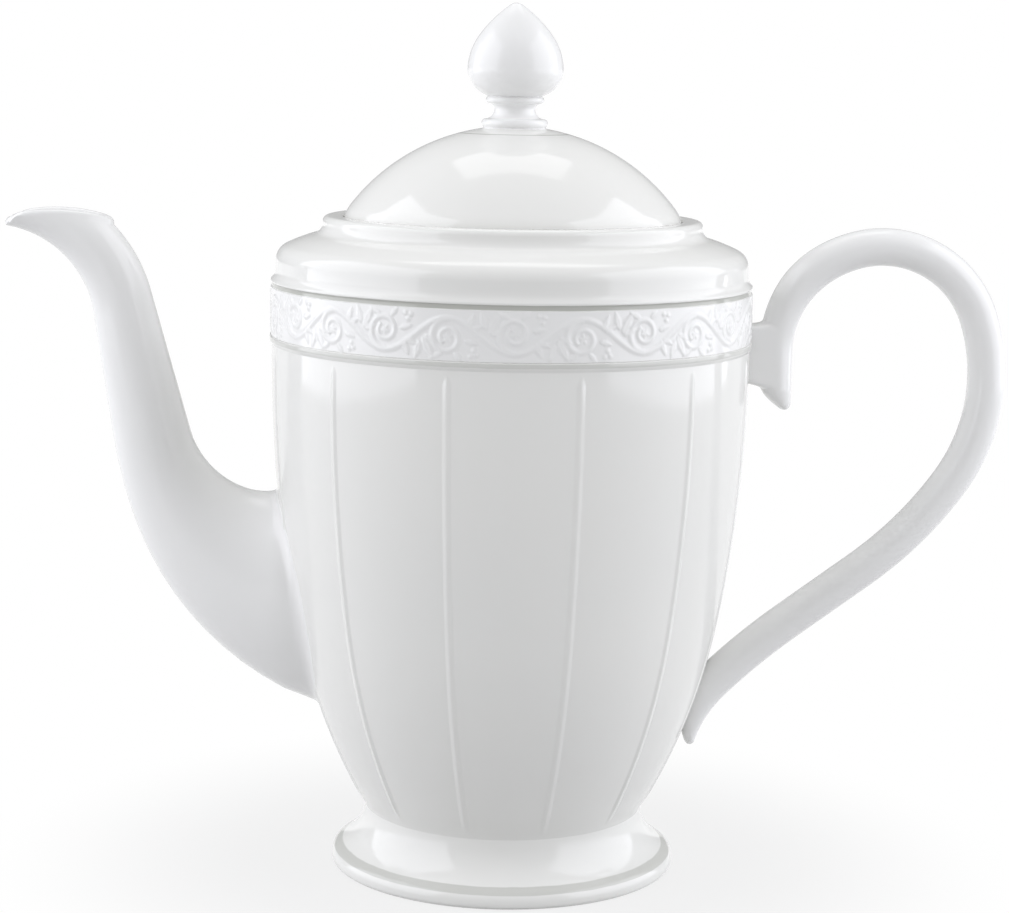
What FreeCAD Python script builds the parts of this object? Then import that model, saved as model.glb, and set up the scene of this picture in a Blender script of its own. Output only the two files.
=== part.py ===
import FreeCAD, Part
import math
import os
import re
import Sketcher
from FreeCAD import Placement, Rotation, Vector

os.makedirs("parts", exist_ok=True)
doc = FreeCAD.newDocument("coffee_pot")

# Driving dimensions in millimetres and degrees: name, value, meaning.
SIZES = (
    # Foot ring
    ("foot_rim_radius", 48.6, "outside of the foot ring"),
    ("foot_rim_height", 3.8, "upright part of the foot ring"),
    ("foot_edge_round", 1.2, "rounding of the lower outer edge"),
    ("foot_rest_width", 3.4, "width of the ring the pot stands on"),
    ("foot_wall", 4.2, "wall of the hollow foot"),
    ("foot_inner_curve", 8.9, "curve radius of its inside"),
    ("neck_radius", 39.7, "narrowest place, where foot and vessel are joined"),
    ("neck_height", 15.4, "height of that place"),
    # Vessel outside
    ("neck_flare_out", 1.1, "how far the curve above the neck comes out"),
    ("neck_flare_rise", 3.9, "height of that curve"),
    ("belly_mid_radius", 60.05, "change from the lower to the upper curve"),
    ("belly_mid_height", 74.5, "height of that change"),
    ("belly_top_radius", 65.9, "top of the fluted wall"),
    ("belly_top_height", 147.0, "height of that top"),
    ("belly_upper_curve", 405.0, "curve radius of the upper wall"),
    ("ledge_out", 0.6, "painted ledge under the frieze, from the top of the fluted wall"),
    ("ledge_height", 1.4, "upright part of the ledge"),
    ("ledge_slope", 0.9, "height of the slope under the ledge"),
    ("frieze_out", 0.3, "ground of the frieze, from the top of the fluted wall"),
    ("frieze_height", 13.4, "height of the frieze"),
    ("groove_depth", 0.3, "painted groove over the frieze, below its ground"),
    ("groove_height", 1.0, "height of that groove"),
    ("bead_height", 2.8, "height of the bead over the groove"),
    ("bead_curve", 1.5, "curve radius of the bead"),
    ("band_in", 0.1, "plain band over the bead, inwards from the top of the fluted wall"),
    ("band_height", 4.5, "height of the plain band"),
    ("corner_in", 1.2, "rounded corner of the shoulder, inwards"),
    ("corner_up", 2.2, "rounded corner of the shoulder, upwards"),
    ("shoulder_curve", 50.0, "curve radius of the sloping shoulder"),
    ("shoulder_rise", 5.2, "height of the sloping shoulder over its corner"),
    ("cove_width", 1.8, "cove between the shoulder and the gallery ring"),
    ("cove_rise", 2.6, "height of that cove"),
    ("gallery_width", 5.8, "width of the raised gallery ring"),
    ("gallery_rise", 3.0, "height of the ring over the cove"),
    ("gallery_round", 2.6, "outer rounding of the ring"),
    ("gallery_edge", 0.6, "inner rounding of the ring"),
    # Vessel inside
    ("wall", 3.6, "wall of the vessel"),
    ("floor_thickness", 4.0, "floor of the vessel"),
    ("floor_round", 6.0, "rounding between floor and wall"),
    ("under_shoulder", 5.0, "curve radius under the shoulder"),
    ("seat_depth", 4.6, "ledge the lid sits on, below the top of the ring"),
    ("mouth_radius", 42.6, "opening inside the ledge"),
    ("lid_seat_width", 3.4, "rim of the lid over the ledge"),
    ("mouth_depth", 3.6, "upright wall of the opening"),
    # Flutes
    ("flute_count", 12, "flutes round the vessel"),
    ("flute_tool_radius", 1.4, "rounding of a flute"),
    ("flute_depth", 0.4, "depth of a flute"),
    ("flute_end_gap", 1.8, "plain wall between flutes and ledge"),
    # Spout
    ("spout_root_out", 1.95, "start of the spout's middle line, out from the vessel's middle radius"),
    ("spout_root_height", 76.4, "height of that start"),
    ("spout_root_rise", 20.6, "slope there above level"),
    ("spout_root_curve", 59.0, "curve radius of the lower bend"),
    ("spout_stem_rise", 77.7, "slope of the straight stem above level"),
    ("spout_stem_length", 38.5, "length of the stem"),
    ("spout_lip_curve", 35.6, "curve radius of the upper bend"),
    ("spout_lip_rise", 9.4, "slope of the lip above level"),
    ("spout_buried", 15.0, "length of the root before it is trimmed to the vessel"),
    ("spout_root_lift", 0.9, "how far the root's middle lies over the middle line"),
    ("spout_root_depth", 57.0, "root, seen from the side"),
    ("spout_root_width", 42.0, "root, seen from the front"),
    ("spout_foot_depth", 21.4, "lower end of the stem, from the side"),
    ("spout_foot_width", 20.4, "lower end of the stem, from the front"),
    ("spout_stem_depth", 16.8, "upper end of the stem, from the side"),
    ("spout_stem_width", 16.2, "upper end of the stem, from the front"),
    ("spout_tip_depth", 14.4, "tip, from the side"),
    ("spout_tip_width", 14.0, "tip, from the front"),
    ("spout_flare_power", 1.62, "how fast the root opens out"),
    ("spout_wall", 2.8, "wall of the spout"),
    ("spout_hole_radius", 13.0, "hole from the vessel into the spout"),
    ("spout_hole_length", 40.0, "length of the bore that makes it"),
    ("lip_below", 1.72, "highest place of the lip's rim, below the end of the middle line"),
    ("lip_crown_back", 11.06, "that place, back from the end of the middle line"),
    ("lip_crown", 54.6, "curve radius of the rim, seen from the side"),
    ("lip_over", 3.34, "end of the lip, past the end of the middle line"),
    ("lip_end_round", 7.6, "rounded end of the lip, from above"),
    # Handle
    ("hook_out", 8.1, "upright run of the strap, out from the top of the fluted wall"),
    ("hook_tip_out", 2.3, "lower tip of the free tail, out from the upright run"),
    ("hook_tip_height", 130.1, "height of that tip"),
    ("hook_tip_rise", 112.0, "direction of the strap there"),
    ("hook_tail_out", 0.9, "free tail over its tip, out from the upright run"),
    ("hook_tail_height", 133.2, "height of that place"),
    ("hook_tail_rise", 105.0, "direction of the strap there"),
    ("hook_low_height", 139.0, "lower end of the upright run"),
    ("hook_top_height", 146.9, "start of the upper bend"),
    ("top_curve", 28.5, "curve radius of the upper bend"),
    ("top_end_fall", 70.4, "slope at the end of the upper bend, below level"),
    ("side_curve", 51.7, "curve radius of the outer side"),
    ("side_end_fall", 124.8, "direction at its end, below level"),
    ("low_curve", 108.3, "curve radius of the lower side"),
    ("low_end_fall", 143.2, "direction at its end, below level"),
    ("low_run_end", 18.97, "end of the straight run after it, out from the vessel's middle radius"),
    ("root_curve", 186.6, "curve radius of the last stretch before the vessel"),
    ("root_end_fall", 135.1, "direction at its end, below level"),
    ("tail_curve", 22.0, "curve radius of the lower tail"),
    ("tail_end_fall", 86.0, "direction at its end, below level"),
    ("strap_thickness", 10.4, "strap, seen from the side"),
    ("strap_width", 12.4, "strap, seen from the front"),
    ("hook_thickness", 8.4, "upright run, from the side"),
    ("hook_width", 11.0, "upright run, from the front"),
    ("hook_tail_thickness", 7.0, "free tail, from the side"),
    ("hook_tail_width", 9.4, "free tail, from the front"),
    ("hook_tip_thickness", 3.0, "tip of the free tail, from the side"),
    ("hook_tip_width", 5.0, "tip of the free tail, from the front"),
    ("tail_thickness", 3.3, "end of the lower tail, from the side"),
    ("tail_width", 6.4, "end of the lower tail, from the front"),
    ("web_middle_height", 145.6, "middle of the web to the vessel"),
    ("web_height", 17.2, "height of the web"),
    ("web_width", 9.4, "width of the web"),
    ("web_buried", 3.9, "length of the web in the vessel before it is trimmed"),
    # Lid
    ("dome_curve", 55.2, "outside curve radius of the dome"),
    ("dome_rise", 28.4, "top of the dome over the ledge the lid sits on"),
    ("dome_wall", 3.4, "wall of the dome"),
    ("lid_gap", 0.6, "play of the lid in the gallery and in the mouth"),
    ("lid_edge", 0.8, "rounding between rim and dome"),
    ("collar_depth", 13.0, "collar that goes down into the mouth"),
    ("collar_wall", 3.2, "wall of that collar"),
    ("collar_taper", 0.8, "how far the collar draws in at its end"),
    # Knob
    ("knob_ring_edge", 8.2, "edges of the lower ring, from the axis"),
    ("knob_ring_round", 0.88, "curve radius of the lower ring"),
    ("knob_ring_rise", 1.2, "upper edge of the lower ring, over the top of the dome"),
    ("knob_neck_radius", 5.6, "narrowest place of the knob"),
    ("knob_neck_rise", 3.5, "height of that place over the dome"),
    ("knob_neck_curve", 2.6, "curve radius under that place"),
    ("knob_throat_curve", 1.6, "curve radius over that place"),
    ("knob_collar_edge", 7.2, "edges of the ring under the bulb, from the axis"),
    ("knob_collar_round", 0.96, "curve radius of that ring"),
    ("knob_collar_low", 5.1, "lower edge of that ring, over the dome"),
    ("knob_collar_top", 7.0, "upper edge of that ring, over the dome"),
    ("bulb_radius", 13.05, "widest place of the bulb"),
    ("bulb_rise", 15.8, "height of that place over the dome"),
    ("bulb_turn_radius", 8.7, "lower end of the cone under the tip"),
    ("bulb_turn_rise", 26.2, "height of that end over the dome"),
    ("tip_reach", 4.0, "end of the rounded tip, from the axis"),
    ("tip_fall", 1.6, "height of the rounded tip"),
    ("tip_curve", 5.8, "curve radius of the tip"),
    ("knob_height", 32.2, "top of the knob over the dome"),
    # Joints between castings
    ("slip_joint", 0.1, "slip between castings that are stuck together"),
)

NAMES = {name for name, value, meaning in SIZES}

sheet = doc.addObject("Spreadsheet::Sheet", "sizes")
for row, (name, value, meaning) in enumerate(SIZES, start=1):
    sheet.set("A%d" % row, meaning)
    sheet.set("B%d" % row, str(value))
    sheet.setAlias("B%d" % row, name)
doc.recompute()


def cells(text):
    """An expression in plain size names, with each name turned into its cell."""

    def cell(word):
        return "sizes." + word.group() if word.group() in NAMES else word.group()

    return re.sub(r"[a-z_]+", cell, text)


def number(text):
    """The value of an expression in plain size names."""
    return float(doc.getObject("probe").evalExpression(cells(text)))


# An empty group that reads the sheet while outlines are laid out.
doc.addObject("App::DocumentObjectGroup", "probe")


def origin_plane(body, role):
    return next(plane for plane in body.Origin.OriginFeatures if plane.Role == role)


def attach(body, sketch, role):
    sketch.AttachmentSupport = [(origin_plane(body, role), "")]
    sketch.MapMode = "FlatFace"


def bind(sketch, constraint, text):
    sketch.setExpression("Constraints[%d]" % sketch.addConstraint(constraint), cells(text))


class Outline:
    """An outline in a body's upright plane X-Z, with every corner bound to the sheet."""

    def __init__(self, body, name, across, up):
        self.sketch = body.newObject("Sketcher::SketchObject", name)
        attach(body, self.sketch, "XZ_Plane")
        self.first_corner = (across, up)
        self.here = Vector(number(across), number(up), 0)
        self.first_point = self.here
        self.heading = None
        self.last = None
        self.first = None

    def bind_corner(self, edge, end, across, up):
        for axis, kind, text in ((-2, "DistanceX", across), (-1, "DistanceY", up)):
            if text == "0":
                self.sketch.addConstraint(Sketcher.Constraint("PointOnObject", edge, end, axis))
            else:
                bind(self.sketch, Sketcher.Constraint(kind, -1, 1, edge, end, number(text)), text)

    def join(self, edge, start, end, across, up, relation):
        if self.last is None:
            self.first = (edge, start)
            self.bind_corner(edge, start, *self.first_corner)
        else:
            self.sketch.addConstraint(Sketcher.Constraint(relation, *self.last, edge, start))
        if (across, up) == self.first_corner:
            self.sketch.addConstraint(Sketcher.Constraint("Coincident", edge, end, *self.first))
        else:
            self.bind_corner(edge, end, across, up)
        self.last = (edge, end)

    def line(self, across, up):
        target = Vector(number(across), number(up), 0)
        edge = self.sketch.addGeometry(Part.LineSegment(self.here, target))
        self.join(edge, 1, 2, across, up, "Coincident")
        self.heading = (target - self.here).normalize()
        self.here = target

    def arc(self, across, up, radius=None, turn=1):
        """A round stretch: with a radius, turning left (1) or right (-1), or else leaving smoothly."""
        target = Vector(number(across), number(up), 0)
        chord = target - self.here
        if radius is None:
            normal = Vector(-self.heading.y, self.heading.x, 0)
            reach = chord.Length ** 2 / (2 * normal.dot(chord))
            turn = 1 if reach > 0 else -1
            centre = self.here + normal * reach
            size = abs(reach)
        else:
            size = number(radius)
            side = Vector(-chord.y, chord.x, 0).normalize() * turn
            centre = self.here + chord * 0.5 + side * math.sqrt(size ** 2 - chord.Length ** 2 / 4)
        begin, finish = (self.here, target) if turn > 0 else (target, self.here)
        angles = [math.atan2(point.y - centre.y, point.x - centre.x) for point in (begin, finish)]
        if angles[1] < angles[0]:
            angles[1] += 2 * math.pi
        circle = Part.Circle(centre, Vector(0, 0, 1), size)
        edge = self.sketch.addGeometry(Part.ArcOfCircle(circle, *angles))
        start, end = (1, 2) if turn > 0 else (2, 1)
        self.join(edge, start, end, across, up, "Coincident" if radius else "Tangent")
        if radius:
            bind(self.sketch, Sketcher.Constraint("Radius", edge, size), radius)
        spoke = target - centre
        self.heading = Vector(-spoke.y, spoke.x, 0).normalize() * turn
        self.here = target

    def close(self):
        self.line(*self.first_corner)


def new_body(label):
    body = doc.addObject("PartDesign::Body", label)
    body.Label = label
    return body


def revolve(body, outline, kind="PartDesign::Revolution", angle="360"):
    doc.recompute()
    feature = body.newObject(kind, outline.sketch.Name + "_turned")
    feature.Profile = outline.sketch
    feature.ReferenceAxis = (outline.sketch, ["V_Axis"])
    feature.setExpression("Angle", cells(angle))
    doc.recompute()
    return feature


def oval(body, name, across, up, rise, depth, width, upright):
    """An oval section square to a line in the X-Z plane that rises by an angle."""
    sketch = body.newObject("Sketcher::SketchObject", name)
    attach(body, sketch, "YZ_Plane")
    sketch.AttachmentOffset = Placement(Vector(), Rotation(Vector(1, 0, 0), 1))
    sketch.setExpression("AttachmentOffset.Base.y", cells(up))
    sketch.setExpression("AttachmentOffset.Base.z", cells(across))
    sketch.setExpression("AttachmentOffset.Rotation.Angle", cells("-(%s)" % rise))
    half_depth = number(depth) / 2
    half_width = number(width) / 2
    long_end = Vector(0, half_depth, 0) if upright else Vector(half_width, 0, 0)
    short_end = Vector(half_width, 0, 0) if upright else Vector(0, half_depth, 0)
    edge = sketch.addGeometry(Part.Ellipse(long_end, short_end, Vector()))
    sketch.exposeInternalGeometry(edge)
    long_axis, short_axis = edge + 1, edge + 2
    sketch.addConstraint(Sketcher.Constraint("Coincident", edge, 3, -1, 1))
    sketch.addConstraint(Sketcher.Constraint("Vertical" if upright else "Horizontal", long_axis))
    long_size, short_size = (depth, width) if upright else (width, depth)
    bind(sketch, Sketcher.Constraint("Distance", long_axis, number(long_size)), long_size)
    bind(sketch, Sketcher.Constraint("Distance", short_axis, number(short_size)), short_size)
    return sketch


def loft(body, name, sections):
    doc.recompute()
    feature = body.newObject("PartDesign::AdditiveLoft", name)
    feature.Profile = sections[0]
    feature.Sections = sections[1:]
    doc.recompute()


def run_point(across, up, rise, length):
    """The place reached along a straight run."""
    return "(%s) + (%s) * cos(%s)" % (across, length, rise), "(%s) + (%s) * sin(%s)" % (up, length, rise)


def bend_point(across, up, rise, new_rise, radius, turn):
    """The place reached along a bend, turning left (1) or right (-1)."""
    sign = "" if turn > 0 else "-"
    return (
        "(%s) + %s(%s) * (sin(%s) - sin(%s))" % (across, sign, radius, new_rise, rise),
        "(%s) + %s(%s) * (cos(%s) - cos(%s))" % (up, sign, radius, rise, new_rise),
    )


def between(start, end, share):
    return "(%s) + ((%s) - (%s)) * %.4f" % (start, end, start, share)


# Foot


def make_foot():
    body = new_body("foot")
    inner_rest = "foot_rim_radius - foot_edge_round - foot_rest_width"
    outline = Outline(body, "foot_outline", inner_rest, "0")
    outline.line("foot_rim_radius - foot_edge_round", "0")
    outline.arc("foot_rim_radius", "foot_edge_round", "foot_edge_round", 1)
    outline.line("foot_rim_radius", "foot_rim_height")
    outline.arc("(foot_rim_radius + neck_radius) / 2", "(foot_rim_height + neck_height) / 2")
    outline.arc("neck_radius", "neck_height")
    outline.line("neck_radius - foot_wall", "neck_height")
    outline.line("neck_radius - foot_wall", "neck_height - foot_wall")
    outline.arc(inner_rest, "foot_wall", "foot_inner_curve", -1)
    outline.close()
    revolve(body, outline)
    return body


# Vessel

LEDGE_LOW = "belly_top_height + ledge_slope"
FRIEZE_LOW = LEDGE_LOW + " + ledge_height"
FRIEZE_TOP = FRIEZE_LOW + " + frieze_height"
GROOVE_TOP = FRIEZE_TOP + " + groove_height"
BEAD_TOP = GROOVE_TOP + " + bead_height"
BAND_TOP = BEAD_TOP + " + band_height"
SHOULDER_END = BAND_TOP + " + corner_up + shoulder_rise"
COVE_TOP = SHOULDER_END + " + cove_rise"
GALLERY_TOP = COVE_TOP + " + gallery_rise"
SEAT = GALLERY_TOP + " - seat_depth"
GALLERY_INSIDE = "mouth_radius + lid_seat_width + lid_gap"
GALLERY_OUTSIDE = GALLERY_INSIDE + " + gallery_width"
FRIEZE_RADIUS = "belly_top_radius + frieze_out"
GROOVE_RADIUS = FRIEZE_RADIUS + " - groove_depth"
BAND_RADIUS = "belly_top_radius - band_in"
FLARE_RADIUS = "neck_radius + neck_flare_out"
FLARE_HEIGHT = "neck_height + neck_flare_rise"


def vessel_side(outline, grow):
    """The outside of the vessel from the top of the bead down to the neck."""
    ledge = "belly_top_radius + ledge_out" + grow
    outline.arc(GROOVE_RADIUS + grow, GROOVE_TOP, "bead_curve", -1)
    outline.line(GROOVE_RADIUS + grow, FRIEZE_TOP)
    outline.line(FRIEZE_RADIUS + grow, FRIEZE_TOP)
    outline.line(FRIEZE_RADIUS + grow, FRIEZE_LOW)
    outline.line(ledge, FRIEZE_LOW)
    outline.line(ledge, LEDGE_LOW)
    outline.line("belly_top_radius" + grow, "belly_top_height")
    outline.arc("belly_mid_radius" + grow, "belly_mid_height", "belly_upper_curve" + grow, -1)
    outline.arc(FLARE_RADIUS + grow, FLARE_HEIGHT)
    outline.arc("neck_radius" + grow, "neck_height")
    outline.line("0", "neck_height")


def solid_panel(body):
    """One panel of the solid vessel, as wide as the spacing of the flutes."""
    outline = Outline(body, "vessel_outline", "0", GALLERY_TOP)
    outline.line(GALLERY_OUTSIDE + " - gallery_round", GALLERY_TOP)
    outline.arc(GALLERY_OUTSIDE, GALLERY_TOP + " - gallery_round")
    outline.line(GALLERY_OUTSIDE, COVE_TOP)
    outline.arc(GALLERY_OUTSIDE + " + cove_width", SHOULDER_END)
    outline.arc(BAND_RADIUS + " - corner_in", BAND_TOP + " + corner_up", "shoulder_curve", -1)
    outline.arc(BAND_RADIUS, BAND_TOP)
    outline.line(BAND_RADIUS, BEAD_TOP)
    vessel_side(outline, "")
    outline.close()
    return revolve(body, outline, angle="360 / flute_count")


def cut_flute(body):
    """A fine upright flute along the middle of the panel."""
    away = " + flute_tool_radius - flute_depth"
    turn = "180 / flute_count"
    low_end = FLARE_RADIUS + " + flute_tool_radius", FLARE_HEIGHT
    top_end = "belly_top_radius" + away, "belly_top_height - flute_end_gap"
    path = Outline(body, "flute_path", *top_end)
    path.arc("belly_mid_radius" + away, "belly_mid_height", "belly_upper_curve" + away, -1)
    path.arc(*low_end)
    path.sketch.AttachmentOffset = Placement(Vector(), Rotation(Vector(0, 1, 0), 1))
    path.sketch.setExpression("AttachmentOffset.Rotation.Angle", cells(turn))
    round_end = body.newObject("Sketcher::SketchObject", "flute_round")
    attach(body, round_end, "XY_Plane")
    round_end.setExpression("AttachmentOffset.Base.z", cells(top_end[1]))
    reach = "(%s) * " % top_end[0]
    across = reach + "cos(%s)" % turn
    aside = reach + "sin(%s)" % turn
    centre = Vector(number(across), number(aside), 0)
    circle = round_end.addGeometry(Part.Circle(centre, Vector(0, 0, 1), number("flute_tool_radius")))
    bind(round_end, Sketcher.Constraint("Radius", circle, number("flute_tool_radius")), "flute_tool_radius")
    bind(round_end, Sketcher.Constraint("DistanceX", -1, 1, circle, 3, centre.x), across)
    bind(round_end, Sketcher.Constraint("DistanceY", -1, 1, circle, 3, centre.y), aside)
    doc.recompute()
    flute = body.newObject("PartDesign::SubtractivePipe", "flute")
    flute.Profile = round_end
    flute.Spine = (path.sketch, ["Edge1", "Edge2"])
    doc.recompute()
    return flute


def repeat_round(body, features, sketch):
    """The panel with its flute, repeated round the axis."""
    ring = body.newObject("PartDesign::PolarPattern", "panels")
    ring.Originals = features
    ring.Axis = (sketch, ["V_Axis"])
    ring.Angle = 360
    ring.setExpression("Occurrences", cells("flute_count"))
    body.Tip = ring
    doc.recompute()


def hollow_vessel(body):
    """The gallery with the lid's seat, the mouth and the inside down to the floor."""
    floor = "neck_height + floor_thickness"
    outline = Outline(body, "hollow_outline", "0", GALLERY_TOP)
    outline.line(GALLERY_INSIDE + " + gallery_edge", GALLERY_TOP)
    outline.arc(GALLERY_INSIDE, GALLERY_TOP + " - gallery_edge", "gallery_edge", 1)
    outline.line(GALLERY_INSIDE, SEAT)
    outline.line("mouth_radius", SEAT)
    outline.line("mouth_radius", SEAT + " - mouth_depth")
    outline.line(BAND_RADIUS + " - wall - under_shoulder", BAND_TOP)
    outline.arc("belly_top_radius - wall", BAND_TOP + " - under_shoulder")
    outline.line("belly_top_radius - wall", "belly_top_height")
    outline.arc("belly_mid_radius - wall", "belly_mid_height", "belly_upper_curve - wall", -1)
    outline.arc(FLARE_RADIUS + " - wall", floor + " + floor_round")
    outline.arc(FLARE_RADIUS + " - wall - floor_round", floor)
    outline.line("0", floor)
    outline.close()
    revolve(body, outline, "PartDesign::Groove")


def make_vessel():
    body = new_body("vessel")
    panel = solid_panel(body)
    flute = cut_flute(body)
    repeat_round(body, [panel, flute], panel.Profile[0])
    hollow_vessel(body)
    return body


def make_envelope():
    """The outside of the vessel, grown by the slip, that trims what is stuck on it."""
    body = new_body("envelope")
    outline = Outline(body, "envelope_outline", "0", BEAD_TOP)
    outline.line(BAND_RADIUS + " + slip_joint", BEAD_TOP)
    vessel_side(outline, " + slip_joint")
    outline.close()
    revolve(body, outline)
    return body


# Spout, drawn towards +X and turned half round onto its side of the pot

HALF_ROUND = Placement(Vector(), Rotation(Vector(0, 0, 1), 180))
ROOT_STEPS = 4
STEM_STEPS = 2
LIP_STEPS = 3
SPOUT_ROOT = "belly_mid_radius + spout_root_out", "spout_root_height"


def spout_stations():
    """Place, slope and size of each section along the spout's middle line."""
    rise = "spout_root_rise"
    level = "0"
    reach, height = run_point(*SPOUT_ROOT, rise, "-spout_buried")
    stations = [((reach, height + " + spout_root_lift"), level, "spout_root_depth", "spout_root_width")]
    for step in range(ROOT_STEPS + 1):
        share = step / ROOT_STEPS
        slope = between(rise, "spout_stem_rise", share)
        reach, height = bend_point(*SPOUT_ROOT, rise, slope, "spout_root_curve", 1)
        opening = " * pow(%.4f; spout_flare_power)" % (1 - share)
        depth = "spout_foot_depth + (spout_root_depth - spout_foot_depth)" + opening
        width = "spout_foot_width + (spout_root_width - spout_foot_width)" + opening
        place = (reach, height + " + spout_root_lift" + opening)
        stations.append((place, between(level, "spout_stem_rise", share), depth, width))
    foot = stations[-1][0]
    for step in range(1, STEM_STEPS + 1):
        share = step / STEM_STEPS
        depth = between("spout_foot_depth", "spout_stem_depth", share)
        width = between("spout_foot_width", "spout_stem_width", share)
        place = run_point(*foot, "spout_stem_rise", "spout_stem_length * %.4f" % share)
        stations.append((place, "spout_stem_rise", depth, width))
    top = stations[-1][0]
    for step in range(1, LIP_STEPS + 1):
        share = step / LIP_STEPS
        slope = between("spout_stem_rise", "spout_lip_rise", share)
        depth = between("spout_stem_depth", "spout_tip_depth", share)
        width = between("spout_stem_width", "spout_tip_width", share)
        place = bend_point(*top, "spout_stem_rise", slope, "spout_lip_curve", -1)
        stations.append((place, slope, depth, width))
    tip = stations[-1][0]
    beyond = run_point(*tip, "spout_lip_rise", "lip_end_round")
    stations.append((beyond, "spout_lip_rise", "spout_tip_depth", "spout_tip_width"))
    return stations


def make_spout_form(name, shrink):
    """The spout's outside, or with a shrink its channel."""
    body = new_body(name)
    sections = []
    for index, (place, rise, depth, width) in enumerate(spout_stations()):
        label = "%s_%d" % (name, index)
        sections.append(oval(body, label, *place, rise, depth + shrink, width + shrink, True))
    loft(body, name + "_loft", sections)
    body.Placement = HALF_ROUND
    return body


def cut(label, base, tool):
    result = doc.addObject("Part::Cut", label)
    result.Label = label
    result.Base = base
    result.Tool = tool
    return result


def bound_object(kind, name, **expressions):
    """A simple solid whose named properties follow the sheet."""
    solid = doc.addObject(kind, name)
    for prop, text in expressions.items():
        solid.setExpression(prop.replace("_at_", "."), cells(text))
    return solid


def make_above_lip():
    """The space over the spout's rim, which is slightly crowned when seen from the side."""
    reach, height = spout_stations()[-2][0]
    crown_reach = "%s - lip_crown_back" % reach
    crown_height = "%s - lip_below" % height
    space = bound_object(
        "Part::Box",
        "lip_space",
        Length="2 * lip_crown",
        Width="2 * spout_root_width",
        Height="lip_crown",
        Placement_at_Base_at_x="-(%s) - lip_crown" % crown_reach,
        Placement_at_Base_at_y="-spout_root_width",
        Placement_at_Base_at_z="%s - spout_tip_depth" % crown_height,
    )
    crown = bound_object(
        "Part::Cylinder",
        "lip_crowned",
        Radius="lip_crown",
        Height="2 * spout_root_width",
        Placement_at_Base_at_x="-(%s)" % crown_reach,
        Placement_at_Base_at_y="spout_root_width",
        Placement_at_Base_at_z="%s - lip_crown" % crown_height,
    )
    crown.Placement = Placement(Vector(), Rotation(Vector(1, 0, 0), 90))
    return cut("above_lip", space, crown)


def make_past_end():
    """The space in front of the rounded end of the lip."""
    reach, height = spout_stations()[-2][0]
    end_middle = "-(%s + lip_over - lip_end_round)" % reach
    low = "%s - spout_root_depth" % height
    space = bound_object(
        "Part::Box",
        "end_space",
        Length="spout_root_depth",
        Width="2 * lip_end_round",
        Height="spout_root_depth",
        Placement_at_Base_at_x="%s - spout_root_depth" % end_middle,
        Placement_at_Base_at_y="-lip_end_round",
        Placement_at_Base_at_z=low,
    )
    end = bound_object(
        "Part::Cylinder",
        "end_rounded",
        Radius="lip_end_round",
        Height="spout_root_depth",
        Placement_at_Base_at_x=end_middle,
        Placement_at_Base_at_z=low,
    )
    return cut("past_end", space, end)


def make_spout(envelope):
    outside = make_spout_form("spout_outside", "")
    channel = make_spout_form("spout_channel", " - 2 * spout_wall")
    trimmed = cut("spout_on_vessel", outside, envelope)
    opened = cut("spout_opened", trimmed, channel)
    levelled = cut("spout_levelled", opened, make_above_lip())
    return cut("spout", levelled, make_past_end())


def make_pot_body(vessel):
    """The vessel with the hole that lets the coffee into the spout."""
    hole = bound_object("Part::Cylinder", "spout_hole", Radius="spout_hole_radius", Height="spout_hole_length")
    hole.Placement = Placement(Vector(), Rotation(Vector(0, 1, 0), -90))
    hole.setExpression("Placement.Rotation.Angle", cells("-(90 - spout_root_rise)"))
    start = run_point(*SPOUT_ROOT, "spout_root_rise", "-spout_hole_length / 2")
    hole.setExpression("Placement.Base.x", cells("-(%s)" % start[0]))
    hole.setExpression("Placement.Base.z", cells(start[1]))
    return cut("pot_body", vessel, hole)


# Handle

TOP_STEPS = 5
TOP_THICKENING = 2
SIDE_STEPS = 3
LOW_STEPS = 2
RUN_STEPS = 1
ROOT_BEND_STEPS = 1
TAIL_STEPS = 3
HOOK_REACH = "belly_top_radius + hook_out"


def hook_stations():
    """Sections of the free tail and the upright run beside the vessel."""
    tip_place = HOOK_REACH + " + hook_tip_out", "hook_tip_height"
    tail_place = HOOK_REACH + " + hook_tail_out", "hook_tail_height"
    run = ("90", "hook_thickness", "hook_width")
    return [
        (tip_place, "hook_tip_rise", "hook_tip_thickness", "hook_tip_width"),
        (tail_place, "hook_tail_rise", "hook_tail_thickness", "hook_tail_width"),
        ((HOOK_REACH, "hook_low_height"), *run),
        ((HOOK_REACH, "hook_top_height"), *run),
    ]


def add_bend(stations, new_rise, radius, turn, steps, size):
    """Sections along a bend that goes on from the last one, with a size for each step."""
    start, rise = stations[-1][:2]
    for step in range(1, steps + 1):
        slope = between(rise, new_rise, step / steps)
        stations.append((bend_point(*start, rise, slope, radius, turn), slope, *size(step)))


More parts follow.
